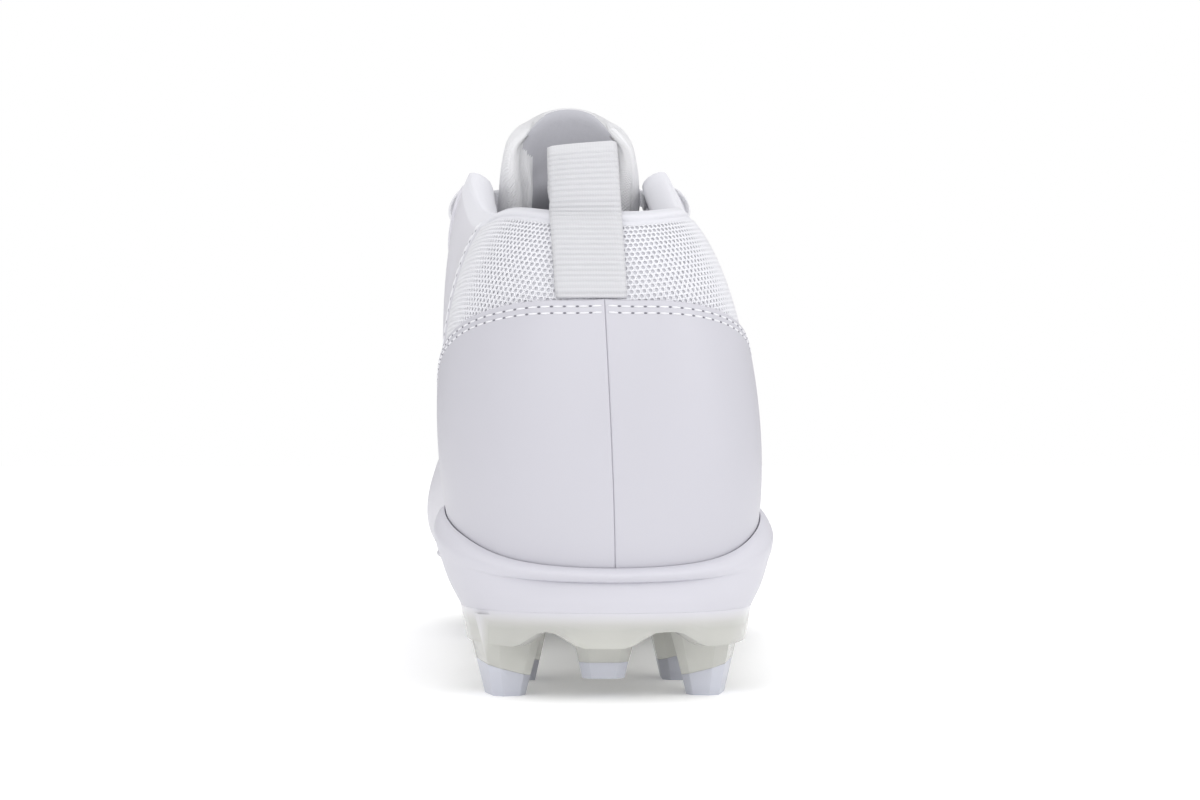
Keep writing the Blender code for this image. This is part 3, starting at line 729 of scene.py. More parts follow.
def knitted_mesh(looks):
    # Knitted polyester spacer mesh: matt soft yarn with a little fuzz
    fuzz = (0.25, 0.05, 0.4)
    return clouded("knitted_spacer_mesh", looks.mesh, 0.8, (0.6, 2.0), 0.92, fuzz, Sheen_Weight=0.25)


def mesh_backing(looks):
    # Foam under the mesh, seen only through its holes
    return clouded("foam_backing", looks.backing, 0.95, (1.2, 3.0), 0.8)


def collar_binding(looks):
    # Plain cloth tape folded over the collar's edge: matt and close
    nap = (0.25, 0.04, 0.4)
    return clouded("collar_binding", looks.backing, 0.85, (0.6, 2.0), 0.95, nap, Sheen_Weight=0.1)


def knit_fabric(looks):
    # Plain circular-knit polyester over foam: even small stitches and a soft nap
    return woven("tongue_knit", looks.fabric, 0.85, (1.0, 0.75), 0.93, 0.22, 0.7, Sheen_Weight=0.3)


def lining_fabric(looks):
    # Brushed tricot lining: matt and close; grey of its own, and darker still as painted shade for the shaded
    # insides of tongue and collar
    nap = (0.5, 0.08, 0.5)
    return clouded("brushed_lining", looks.lining, 0.9, (0.9, 3.0), 0.9, nap, Sheen_Weight=0.2)


def ribbed_webbing(looks):
    # Woven grosgrain tape: fine warp threads run over thick ribs, with a slight silk shine
    return woven("grosgrain_tape", looks.webbing, 0.55, (0.6, 0.6), 0.94, 0.06, 0.5, Sheen_Weight=0.15)


def woven_lace(looks):
    # Flat tubular polyester lace: a braid that shows as small crossed diagonals
    return woven("flat_braided_lace", looks.lace, 0.75, (1.1, 1.1), 0.85, 0.2, 0.7, Sheen_Weight=0.2)


def moulded_foam(looks):
    # Moulded foam with a satin skin: soft broad shine and faint flow clouds
    glow = {"Subsurface_Weight": 0.08, "Subsurface_Radius": (2 * MM, 2 * MM, 2 * MM)}
    return clouded("moulded_foam_skin", looks.foam, 0.45, (16, 3.0), 0.97, (0.9, 0.04, 0.2), **glow)


def clear_plastic(looks):
    # Injection-moulded clear polyurethane: smoky and see-through, milky where it meets the white foam
    colour = tuple(looks.clear)
    material, tree, shader = start_material("clear_polyurethane", colour, 0.2, IOR=1.49)
    fade = add_node(tree, "ShaderNodeAttribute", attribute_name="clear_share").outputs["Fac"]
    mix_base(tree, shader, fade, tuple(looks.foam), colour)
    through = add_node(tree, "ShaderNodeMapRange", {"Value": fade, "To Max": 0.5})
    tree.links.new(through.outputs[0], shader.inputs["Transmission Weight"])
    raise_bumps(tree, shader, noise_mm(tree, 5.0, 2.0), 0.15, 0.25)
    return material


def hard_tip(looks):
    # Hard injection-moulded polyurethane: cool white with a clean low gloss
    return clouded("hard_polyurethane", looks.tips, 0.36, (6, 3.0), 0.95, (0.8, 0.03, 0.25))


def insole_cloth(looks):
    # Flat woven cloth bonded to foam: even, matt and a little grey
    return woven("insole_cloth", looks.insole, 0.9, (0.9, 0.9), 0.85, 0.15, 0.6, Sheen_Weight=0.15)


def bonded_thread(looks):
    # Bonded polyester thread: white with a slight sheen
    return clouded("bonded_thread", looks.thread, 0.5, (0.5, 2.0), 0.9, Sheen_Weight=0.1)


def painted_hole_shade(looks):
    # Painted shade: flat dark beads beside each stitch for the shade in its needle holes, and a flat dark
    # disc in each eyelet for the shade in its hole
    return clouded("painted_needle_shade", looks.hole, 0.9, (0.5, 2.0), 0.7)


# The pieces' shapes


def upper_ribs():
    """Places round the upper, close together at the heel, with a pair at each end of the mesh panel."""
    ribs = [step / 16 for step in range(-72, 73)]
    ribs += [side * step / 8 for side in (-1, 1) for step in range(37, 80)]
    ribs += [-10.0]
    ribs = [rib for rib in ribs if abs(abs(rib) - MESH_END) > 0.001]
    ribs += [side * (MESH_END + step) for side in (-1, 1) for step in (-0.012, 0.012)]
    return sorted(ribs)


def upper_relief(rib, below):
    """Height of panels, binding and creases on the upper's outside, at distances below its top edge."""
    from_heel = abs(rib)
    quarter = QUARTER_STAND * smooth_step(from_heel, MESH_END - 0.01, MESH_END + 0.01)
    binding = 1 - smooth_step(from_heel, MESH_END - 0.1, MESH_END - 0.01)
    roll = 0.4 * np.sqrt(np.clip(1 - ((below - BINDING_WIDE / 2) / (BINDING_WIDE / 2)) ** 2, 0, 1))
    groove = -0.15 * np.exp(-(((below - BINDING_WIDE - 0.2) / 0.3) ** 2))
    relief = quarter + binding * (roll + groove)
    crease = math.exp(-(((rib - CREASE_PLACE) / 0.16) ** 2))
    relief -= 0.6 * crease * smooth_step(below, 6, 16) * (1 - smooth_step(below, 28, 44))
    flex = sum(math.exp(-(((from_heel - place) / 0.14) ** 2)) for place in FLEX_PLACES)
    return relief - 0.35 * flex * smooth_step(below, 24, 36) * (1 - smooth_step(below, 52, 68))


def upper_part():
    """Closed grid of the whole upper, and the material number of each of its quads."""
    ribs = upper_ribs()
    top_steps = np.array([0, 0.25, 0.5, 0.8, 1.1, 1.4, 1.7, 1.9, 2.1, 2.3, 2.5, 2.8, 3.3, 3.8, 4.1])
    inner_shares = np.linspace(1, 0, 26)
    low_rows = 56
    rows, kinds = [], []
    for rib in ribs:
        low_end = share_below(rib, top_steps[-1])
        low = np.linspace(0, low_end, low_rows, endpoint=False)
        shares = np.concatenate([low, share_below(rib, top_steps[::-1])])
        below = distance_below(rib, shares)
        outer = skin_line(rib, shares, upper_relief(rib, below))
        inner = skin_line(rib, inner_shares, -wall_thickness(rib, inner_shares))
        middle, half = (outer[-1] + inner[0]) / 2, (outer[-1] - inner[0]) / 2
        turns = np.radians(np.arange(30, 180, 30))[:, None]
        lift = np.array([0, 0, 0.28 * float(wall_thickness(rib, 1.0))])
        edge = middle + half * np.cos(turns) + lift * np.sin(turns)
        rows.append(np.concatenate([outer, edge, inner]))
        in_panel = abs(rib) < MESH_END - 0.01
        bound = abs(rib) < EAR_END
        outside = np.where(bound & (below < BAND_END), 3, 1 if in_panel else 0)
        inside = np.full(len(edge) + len(inner), 2)
        inside[: len(edge) + 8] = 3 if bound else 0
        kinds.append(np.concatenate([outside, inside]))
    return grid_part(np.array(rows), close_rows=True, close_columns=True), np.array(kinds).ravel()


def mesh_places(pitch):
    """Places of the mesh's holes between the collar's binding and the counter, in staggered rows."""
    ribs = np.linspace(-MESH_END, MESH_END, 201)
    girth_share, ring_stand = 0.82, 0.16
    girth = run_along(np.array([point_at(rib, girth_share) for rib in ribs]))
    row_step = pitch * math.sqrt(3) / 2
    places = []
    for column in np.arange(pitch / 2, girth[-1], pitch / 2):
        rib = float(np.interp(column, girth, ribs))
        deepest = float(distance_below(rib, [COUNTER_SHARE(abs(rib))])[0]) + 0.6
        odd = round(column / (pitch / 2)) % 2
        belows = np.arange(BAND_END + 0.3 + odd * row_step, deepest, 2 * row_step)
        if not len(belows):
            continue
        shares = share_below(rib, belows)
        points = skin_line(rib, shares, ring_stand)
        outs = rib_normals(rib, shares)
        across = unit(rib_line(rib + 0.01, shares) - rib_line(rib - 0.01, shares))
        places.extend(zip(points, outs, across))
    return places


def panel_part(columns, thick, seam_depth, rows_between):
    """Closed overlay from (rib, low share, high share) columns, rounded at edges and dipped at both ends."""
    near = np.array([0, 0.12, 0.35, 0.7, 1.2])
    edge_thick, edge_round, seam_round = 0.25, 0.9, 0.5
    start = run_along(np.array([point_at(rib, (low + high) / 2) for rib, low, high in columns]))
    outer, inner = [], []
    for (rib, low, high), run in zip(columns, start):
        below_low, below_high = distance_below(rib, [low, high])
        wide = float(below_low - below_high)
        steps = near * min(1.0, wide / 4)
        middle = np.linspace(steps[-1], wide - steps[-1], rows_between + 2)[1:-1]
        across = np.concatenate([steps, middle, wide - steps[::-1]])
        shares = share_below(rib, below_high + across)
        from_end = min(run, start[-1] - run)
        edge = np.minimum(across, wide - across)
        height = edge_thick + (thick - edge_thick) * rounded_edge(edge, edge_round)
        height = height - seam_depth * (1 - rounded_edge(from_end, seam_round))
        outer.append(skin_line(rib, shares, GAP + height))
        inner.append(skin_line(rib, shares, GAP))
    return slab_part(np.array(outer), np.array(inner))


def counter_columns(side):
    """Columns of half the heel counter, from the back seam round one side (1 lateral, -1 medial)."""
    seam = np.array([0.0008, 0.003, 0.007, 0.013, 0.022, 0.032, 0.055])
    places = np.concatenate([seam, np.linspace(0.09, COUNTER_TOP[-1][0], 88)])
    columns = []
    for place in places:
        rib = side * float(place)
        low = share_at_height(rib, SOLE_AT["rim"](RIB_AT["foot_y"](rib)) - 0.6)
        columns.append((rib, low, max(COUNTER_SHARE(place), low + 0.02)))
    return columns


def eyestay_columns():
    """Columns of the eyestay, with its top corners rounded off."""
    first = EYESTAY[0].rib
    corner = 0.30
    near = [0.002, 0.01, 0.025, 0.045, 0.07, 0.1, 0.14, 0.18, 0.23]
    places = [first + step for step in near] + list(np.linspace(first + corner, TOE, 84))
    lateral = []
    for place in places:
        inner, outer = EYESTAY_INNER(place), EYESTAY_OUTER(place)
        middle, half = (inner + outer) / 2, (inner - outer) / 2
        half *= float(rounded_edge(place - first, corner))
        lateral.append((float(place), middle - half, middle + half))
    medial = [(ROUND - place, low, high) for place, low, high in lateral[-2::-1]]
    return lateral + medial


def flank(rib):
    """0 at the back of the heel, 1 on its sides, and 0 again from the waist on."""
    away = ribs_from_heel(rib)
    return float(smooth_step(away, 0.5, 1.6) * (1 - smooth_step(away, 3.0, 4.5)))


def rim_section(rib):
    """Outside of the midsole at one rib, from the seam up over groove and bead to the rim's inner edge."""
    foot = point_at(rib, 0)
    out = outward(rib)
    height = {field: curve(foot[1]) for field, curve in SOLE_AT.items()}
    seam = foot + height["spread"] * out
    seam[2] = height["seam"] + 0.02
    groove = point_at(rib, share_at_height(rib, height["groove"]))
    rim = point_at(rib, share_at_height(rib, height["rim"]))
    bead = height["rim"] - height["groove"]
    up = np.array([0, 0, 1.0])
    fuller = RIM_FLANK * flank(rib) - RIM_SLIM * float(smooth_step(ribs_from_heel(rib), 4.5, 6.0))
    below = groove + (RIM_STAND - 0.5 + fuller) * out - 0.6 * up
    band = smooth_line([seam, seam * 0.55 + below * 0.45 + 0.5 * out, below], 9)
    roll = smooth_line(
        [
            groove + (RIM_STAND - RIM_BEAD + 1.3 * fuller) * out,
            groove + (RIM_STAND + 0.3 + 0.9 * fuller) * out + 0.14 * bead * up,
            (groove + rim) / 2 + (RIM_STAND + 1.1 + 0.3 * fuller) * out,
            rim + (RIM_STAND * 0.9 + min(fuller, 0)) * out - 0.16 * bead * up,
            rim + RIM_STAND * 0.5 * out,
        ],
        17,
    )
    return np.concatenate([band, roll])


def ribs_round(per_rib):
    return [place / per_rib for place in range(ROUND * per_rib)]


def midsole_part():
    """The white cup: outside with its rim, thin ledge behind the rim, and the well that holds the upper."""
    counter_stand, plain_stand = 1.62, 0.92
    rows = []
    for rib in ribs_round(12):
        y = RIB_AT["foot_y"](rib)
        x_middle, y_middle = spine(rib)
        top_share = share_at_height(rib, SOLE_AT["rim"](y) - 0.2)
        past_counter = float(smooth_step(ribs_from_heel(rib), 4.1, 4.4))
        stand = counter_stand + (plain_stand - counter_stand) * past_counter
        ledge_shares = share_below(rib, [0, 0.3, 0.6], top_share)
        ledge = skin_line(rib, ledge_shares, [stand, stand, GAP])
        well = skin_line(rib, ledge_shares[-1] * np.array([0.66, 0.33, 0]), GAP)
        well[-1][2] = SOLE_AT["floor"](y)
        below = [[x_middle, y_middle, SOLE_AT["seam"](y_middle) + 0.02]]
        floor = [[x_middle, y_middle, SOLE_AT["floor"](y_middle)]]
        rows.append(np.concatenate([below, rim_section(rib), ledge, well, floor]))
    return grid_part(np.array(rows), close_rows=True)


def plate_height(y, share):
    """Height a share of the way up the plate's wall."""
    return SOLE_AT["base"](y) + share * (SOLE_AT["seam"](y) - SOLE_AT["base"](y))


def wall_foot_height(x, y):
    """Foot of the plate's wall: low by the studs, and lifted into an arch between them."""
    nearest = min(math.hypot(x - stud.x, 0.6 * (y - stud.y)) for stud in STUDS)
    return plate_height(y, ARCH_SHARE * float(smooth_step(nearest, 8.0, 13.5)))


def plate_part():
    """The plate without its studs: top, outer wall with arches, and recess."""
    wall_draft, recess_draft = 1.4, 1.6
    rows = []
    for rib in ribs_round(10):
        foot = point_at(rib, 0)
        out = outward(rib)
        y = foot[1]
        x_middle, y_middle = spine(rib)
        spread = SOLE_AT["spread"](y)
        base = wall_foot_height(foot[0], y)
        seam = SOLE_AT["seam"](y)
        wall_foot = foot + (spread - wall_draft) * out
        wall_head = foot + spread * out
        inner = wall_foot - PLATE_WALL * out
        recess = inner - recess_draft * out
        deep = plate_height(y, PLATE_RECESS_SHARE)
        line = [(x_middle, y_middle, SOLE_AT["seam"](y_middle))]
        for part in np.linspace(0, 1, 7):
            x, y_wall, _ = wall_head + part * (wall_foot - wall_head)
            line.append((x, y_wall, seam + part * (base - seam)))
        line.append((*inner[:2], base))
        line.append((*recess[:2], deep))
        line.append((x_middle, y_middle, plate_height(y_middle, PLATE_RECESS_SHARE)))
        rows.append(line)
    return grid_part(np.array(rows), close_rows=True)


def stud_outline(stud, height, head, flare):
    """Chamfered outline of a stud at one height, with its back moved out by a flare."""
    grow = STUD_DRAFT * (height - stud.foot)
    half_x, half_y = (stud.wide + grow) / 2, (stud.long + grow) / 2
    cut = STUD_CHAMFER * (0.75 + 0.5 * (height - stud.foot) / (head - stud.foot))
    corners = [
        (half_x, -half_y + cut),
        (half_x, half_y - cut),
        (half_x - cut, half_y),
        (-half_x + cut, half_y),
        (-half_x, half_y - cut),
        (-half_x, -half_y + cut),
        (-half_x + cut, -half_y),
        (half_x - cut, -half_y),
    ]
    corners = [(x, y - flare * (y < 0)) for x, y in corners]
    turn = math.radians(stud.turn)
    return [
        (
            stud.x + x * math.cos(turn) - y * math.sin(turn),
            stud.y + x * math.sin(turn) + y * math.cos(turn),
            height,
        )
        for x, y in corners
    ]


def stud_mesh(stud, keep_foot):
    """Tip or body of a stud, on one side of the slanted joint between them."""
    head = plate_height(stud.y, FLARED_HEAD_SHARE if stud.name in STUD_FLARES else STUD_HEAD_SHARE)
    split = stud.foot + STUD_SPLIT * (0.6 if stud.foot else 1.0)
    flare = 0.0 if keep_foot else STUD_FLARES.get(stud.name, 0.0)
    levels = [(stud.foot, 0.0), (split, 0.0), (head, flare)]
    loops = [stud_outline(stud, height, head, out) for height, out in levels]
    name = ("tip_" if keep_foot else "body_") + stud.name
    mesh = mesh_of(name, [tube_part(np.array(loops))], sharp_angle=20)
    lean = 0.0 if stud.name in ("heel_centre", "toe") else math.copysign(STUD_JOINT_LEAN, stud.x)
    normal = Vector((-lean, 0, 1)).normalized()
    point = Vector(row_frame([stud.x, stud.y, split])) + normal * (0 if keep_foot else 0.04 * MM)
    edit = bmesh.new()
    edit.from_mesh(mesh)
    geometry = edit.verts[:] + edit.edges[:] + edit.faces[:]
    cut = bmesh.ops.bisect_plane(
        edit, geom=geometry, plane_co=point, plane_no=normal, clear_outer=keep_foot, clear_inner=not keep_foot
    )
    rim = [item for item in cut["geom_cut"] if isinstance(item, bmesh.types.BMEdge)]
    bmesh.ops.contextual_create(edit, geom=rim)
    bmesh.ops.recalc_face_normals(edit, faces=edit.faces)
    edit.to_mesh(mesh)
    edit.free()
    return mesh


def joined_mesh(name, meshes):
    """One mesh from several."""
    edit = bmesh.new()
    for mesh in meshes:
        edit.from_mesh(mesh)
        bpy.data.meshes.remove(mesh)
    joined = bpy.data.meshes.new(name)
    edit.to_mesh(joined)
    edit.free()
    return joined


def plate_mesh():
    """Plate and stud bodies as one moulding, with rounded edges and its clearness at each point."""
    plate = new_object("plate_helper", mesh_of("clear_plate", [plate_part()], merge=True))
    studs = [stud_mesh(stud, False) for stud in STUDS]
    bodies = new_object("bodies_helper", joined_mesh("bodies", studs))
    join = plate.modifiers.new("join_studs", "BOOLEAN")
    join.operation = "UNION"
    join.solver = "EXACT"
    join.object = bodies
    mesh = evaluated_mesh(plate, "clear_plate")
    bpy.data.objects.remove(bodies)
    mesh.materials.clear()
    mesh = bevelled_mesh(mesh, 0.4, 28, 24)
    clear = mesh.attributes.new("clear_share", "FLOAT", "POINT")
    values = []
    for vertex in mesh.vertices:
        y = vertex.co.y / MM + FOOTPRINT_CENTRE[1]
        down = (SOLE_AT["seam"](y) - vertex.co.z / MM) / (SOLE_AT["seam"](y) - SOLE_AT["base"](y))
        values.append(float(smooth_step(down, -0.05, 0.5)))
    clear.data.foreach_set("value", values)
    return mesh


def insole_part():
    """Sock liner: flat in the middle, turned up a little along its edge."""
    rows = []
    for rib in ribs_round(8):
        x_middle, y_middle = spine(rib)
        edge = skin(rib, 0, -(WALL + 0.5))
        floor = SOLE_AT["floor"](RIB_AT["foot_y"](rib)) + GAP
        middle = np.array([x_middle, y_middle, SOLE_AT["floor"](y_middle) + GAP])
        rim = np.array([edge[0], edge[1], floor])
        line = [middle, rim]
        for share, height in INSOLE_TOP:
            point = middle + share * (rim - middle)
            line.append(point + np.array([0, 0, height * INSOLE_THICK]))
        rows.append(line)
    return grid_part(np.array(rows), close_rows=True)


def tongue_rows():
    """Top face of the tongue, from its sewn end under the vamp to its free top, side to side."""
    tucked = (0.70, 0.79, 0.88, 0.96)
    rows = []
    for step in range(TONGUE_SEWN, TONGUE_FREE - 1, -2):
        rib = step / RIBS_PER_ROW
        lateral = skin_line(rib, tucked, -(WALL + TONGUE_CLEAR))
        medial = skin_line(-rib, tucked, -(WALL + TONGUE_CLEAR))
        crest = (lateral[-1] + medial[-1]) / 2
        crown = 0.12 * np.linalg.norm(lateral[-1] - medial[-1])
        crest[2] += crown - (crown + 1.2) * float(smooth_step(rib, 7.0, 8.5))
        rows.append(np.concatenate([lateral, [crest], medial[::-1]]))
    for end in TONGUE_END:
        turns = np.radians(90) * np.arange(4, -5, -1) / 4
        fall = 1 - np.cos(turns)
        rows.append(
            np.stack(
                [
                    TONGUE_MIDDLE + end.half_wide * np.sin(turns),
                    end.crest_y + (end.edge_y - end.crest_y) * fall,
                    end.crest_z + (end.edge_z - end.crest_z) * fall,
                ],
                -1,
            )
        )
    return np.array(rows)


def blurred(field, rounds):
    """Field of vectors over a grid, each mixed with its neighbours a number of times."""
    for _ in range(rounds):
        for axis in (0, 1):
            pad = [(1, 1) if axis == each else (0, 0) for each in (0, 1, 2)]
            wide = np.swapaxes(np.pad(field, pad, mode="edge"), 0, axis)
            field = np.swapaxes(wide[:-2] / 4 + wide[1:-1] / 2 + wide[2:] / 4, 0, axis)
    return unit(field)


def tongue_part():
    """Padded tongue with a thick rolled edge, and the material number of each of its quads."""
    grid = smooth_line(tongue_rows(), TONGUE_ROWS)
    grid = smooth_line(grid.swapaxes(0, 1), TONGUE_COLUMNS).swapaxes(0, 1)
    along = np.gradient(grid, axis=0)
    across = np.gradient(grid, axis=1)
    inward = blurred(unit(np.cross(-across, along)), 160)
    rim = np.concatenate([grid[:, 0], grid[-1], grid[::-1, -1]])
    edge = np.array([np.linalg.norm(row[:, None] - rim[None], axis=-1).min(axis=1) for row in grid])
    runs = np.array([run_along(row) for row in grid])
    side = np.minimum(runs, runs[:, -1:] - runs)
    crest = run_along(grid[:, TONGUE_COLUMNS // 2])[:, None]
    from_top = crest[-1] - crest
    roll = (TONGUE_ROLL - TONGUE_PAD) * smooth_step(from_top, 1.0, 14.0)
    ridge = RIDGE_HIGH * (0.7 * smooth_step(from_top, 5.0, 15.0) + 0.3 * smooth_step(from_top, 18.0, 36.0))
    whole = TONGUE_PAD + roll * (1 - smooth_step(side, 4.5, 7.5))
    columns = np.arange(TONGUE_COLUMNS)
    column = np.minimum(columns, columns[::-1])
    from_ridge = np.abs(column - RIDGE_COLUMN) / RIDGE_HALF_COLUMNS
    whole += ridge * np.exp(-(from_ridge**2))
    half = whole / 2 * np.maximum(rounded_edge(edge, 3.2), 0.06)
    outer = grid + (whole / 2 - half)[..., None] * inward
    inner = grid + (whole / 2 + half)[..., None] * inward
    # The lining's ridge takes the white knit as a painted highlight, for the light that falls on it; the rest
    # of the inside is lining
    ridge_painted_highlight = (column <= RIDGE_LAST_COLUMN) & (from_top > 3.5 + 0.8 * np.maximum(column - 7, 0))
    inner_kind = np.where((side < TONGUE_KNIT_WIDE) | (edge < 0.5) | ridge_painted_highlight, 0, 1)
    kinds = np.concatenate([np.zeros_like(inner_kind), inner_kind[:, ::-1]], axis=1)[:-1]
    return slab_part(outer, inner), kinds.ravel()


def loop_line(x):
    """Middle of the webbing at one distance across it: up outside the collar, over, and down inside."""
    half = 2 * GAP + WEBBING_THICK / 2

    def leaning(height):
        return x - LOOP_LEAN * (height - LOOP_FOOT)

    line = []
    for height, stand in ((LOOP_FOOT, 0.15), *((climb, half) for climb in LOOP_CLIMB)):
        rib, share = heel_place(leaning(height), height)
        line.append(skin(rib, share, stand))
    rib, share = heel_place(x, 110.0)
    edge = skin(rib, 1.0, 0)
    for behind, height in LOOP_BENDS:
        lift = LOOP_TILT * (x - LOOP_MIDDLE) * (height - 110) / 16
        line.append(np.array([leaning(height), edge[1] - 3.5 + behind, height + lift]))
    for height in (110.0, 106.0, 101.0, LOOP_TUCK):
        rib, share = heel_place(leaning(height), height)
        line.append(skin(rib, share, -(float(wall_thickness(rib, share)) + half)))
    return line


def pull_loop_part(rib_pitch):
    """Ribbed webbing: thick ribs across it, thinner selvedges, and a pressed fold at the top."""
    lines = np.array([loop_line(LOOP_MIDDLE + part * WEBBING_WIDE / 2) for part in np.linspace(-1, 1, 5)])
    rough = smooth_line(smooth_line(lines, LOOP_COLUMNS).swapaxes(0, 1), 900)
    middle = LOOP_COLUMNS // 2
    run = run_along(rough[:, middle])
    steps = np.arange(0, run[-1], rib_pitch / 6)
    sheet = np.stack(
        [
            np.stack([np.interp(steps, run, rough[:, column, axis]) for axis in range(3)], -1)
            for column in range(LOOP_COLUMNS)
        ],
        1,
    )
    along = np.gradient(sheet, axis=0)
    across = np.gradient(sheet, axis=1)
    normal = unit(np.cross(across, along))
    crest = steps[np.argmax(sheet[:, middle, 2])]
    pressed = 0.15 + 0.85 * smooth_step(np.abs(steps - crest - 0.8), 4.2, 5.2)
    rib_high, rib_sink = 0.40, 0.22
    ribs = rib_high * pressed * np.abs(np.sin(np.pi * steps / rib_pitch)) - rib_sink
    place = np.linspace(0, WEBBING_WIDE, LOOP_COLUMNS)
    selvedge = rounded_edge(np.minimum(place, place[::-1]), 1.2)
    half = (WEBBING_THICK / 2 + ribs)[:, None] * (0.35 + 0.65 * selvedge)[None, :]
    return slab_part(sheet + half[..., None] * normal, sheet - half[..., None] * normal)


def ribbon_part(line, outs, wide, thick):
    """Flat lace along a line of points, facing the given directions, with soft round edges."""
    line = smooth_line(line, 44)
    outs = unit(smooth_line(outs, 44))
    along = unit(np.gradient(line, axis=0))
    side = unit(np.cross(outs, along))
    up = unit(np.cross(along, side))
    turns = np.linspace(0, 2 * math.pi, 16, endpoint=False)
    flat = np.sign(np.cos(turns)) * np.abs(np.cos(turns)) ** 0.6
    puff = np.sign(np.sin(turns)) * np.abs(np.sin(turns)) ** 0.8
    loops = (
        line[:, None]
        + flat[None, :, None] * wide / 2 * side[:, None]
        + puff[None, :, None] * thick / 2 * up[:, None]
    )
    return tube_part(loops)


def lace_run(row, side, thick):
    """Line and facing of one run of lace: up through its eyelet, over the tongue and under the far edge."""
    rib = EYELETS[row]
    above = EYELETS[max(row - 1, 0)]
    near = rib + 0.35 * (above - rib)
    far = above + 0.15 * (rib - above)
    stand = 2 * GAP + PANEL_THICK + thick / 2 + 0.2
    bulge = 3.6 if row == 0 else 0.4
    places = [
        (side * rib, EYELET_SHARE, -1.2),
        (side * rib, EYELET_SHARE + 0.004, stand + 0.5 * bulge),
        (side * (rib + 0.3 * (near - rib)), EYELET_SHARE + 0.045, stand + bulge),
        (side * near, 0.985, stand + 0.6 * bulge),
    ]
    line = [skin(*place) for place in places]
    outs = [normal_at(place, share) for place, share, _ in places]
    if row == 0:
        # The hidden ends turn in over the top edge and stop there
        tuck = [(side * (near - 0.02), 0.999, -0.6), (side * (near - 0.04), 0.985, -4.2)]
        line += [skin(*place) for place in tuck]
        outs += [-np.cross([0, side, 0], [0, 0, 1]), -outs[-1]]
        return line, outs
    far_places = [(-side * far, 0.997, 0.9), (-side * far, 0.965, -(WALL + 0.9))]
    ends = [skin(*place) for place in far_places]
    end_outs = [normal_at(place, share) for place, share, _ in far_places]
    crest = (line[-1] + ends[0]) / 2
    crosses_over = (side > 0) == (row % 2 == 0)
    crest[2] += 0.11 * np.linalg.norm(line[-1] - ends[0]) + crosses_over * (thick + 0.3)
    outs += [unit(outs[-1] + end_outs[0]), *end_outs]
    return line + [crest, *ends], outs


def lace_parts(wide, thick):
    """Both runs of lace at every pair of eyelets."""
    runs = [lace_run(row, side, thick) for row in range(len(EYELETS)) for side in (1, -1)]
    return [ribbon_part(line, outs, wide, thick) for line, outs in runs]


def eyelet_places():
    """Places of the eyelets on the eyestay's face."""
    places = []
    for rib in EYELETS:
        for side in (1, -1):
            point = skin(side * rib, EYELET_SHARE, GAP + PANEL_THICK)
            out = normal_at(side * rib, EYELET_SHARE)
            run = unit(skin(side * rib + 0.01, EYELET_SHARE, 0) - skin(side * rib - 0.01, EYELET_SHARE, 0))
            places.append((point, out, run))
    return places


def seam_places(line, pitch, shift=0.0):
    """Stitch places spaced along a line of (rib, share, height) steps."""
    points = np.array([skin(*step) for step in line])
    outs = np.array([normal_at(rib, share) for rib, share, _ in line])
    run = run_along(points)
    places = []

    def at(values, distance):
        return np.array([np.interp(distance, run, values[:, axis]) for axis in range(3)])

    for distance in np.arange(pitch / 2 + shift, run[-1] - pitch / 2, pitch):
        point = at(points, distance)
        places.append((point, unit(at(outs, distance)), unit(at(points, distance + 0.5) - point)))
    return places


def seam_lines():
    """Lines of stitching: counter top, eyestay edges and the back edges of the quarter panels."""
    face = GAP + PANEL_THICK
    lines = []
    for side in (1, -1):
        for below in (1.7, 3.2):
            line = []
            for place in np.linspace(0.02, 4.0, 160):
                rib = side * float(place)
                share = share_below(rib, [below], COUNTER_SHARE(place))[0]
                line.append((rib, float(share), face))
            lines.append(line)
        for edge, inset in ((EYESTAY_OUTER, -2.0), (EYESTAY_INNER, 2.0)):
            line = []
            for place in np.linspace(EYESTAY[0].rib + 0.2, TOE, 150):
                rib = side * float(place)
                below = float(distance_below(rib, [edge(place)])[0]) + inset
                line.append((rib, float(share_below(rib, [below])[0]), face))
            lines.append(line)
        for out in (0.07, 0.13):
            rib = side * (MESH_END + out)
            low = COUNTER_SHARE(MESH_END + out) + 0.015
            lines.append([(rib, share, QUARTER_STAND + 0.02) for share in np.linspace(low, 0.965, 60)])
    return lines


# What a user would change


def length_setting(name, description, default_mm):
    """Property for a small length."""
    return FloatProperty(
        name=name, description=description, default=default_mm * MM, unit="LENGTH", precision=5
    )


def colour_setting(name, description, hex_colour):
    """Property for a colour."""
    return FloatVectorProperty(
        name=name, description=description, default=linear(hex_colour), subtype="COLOR"
    )


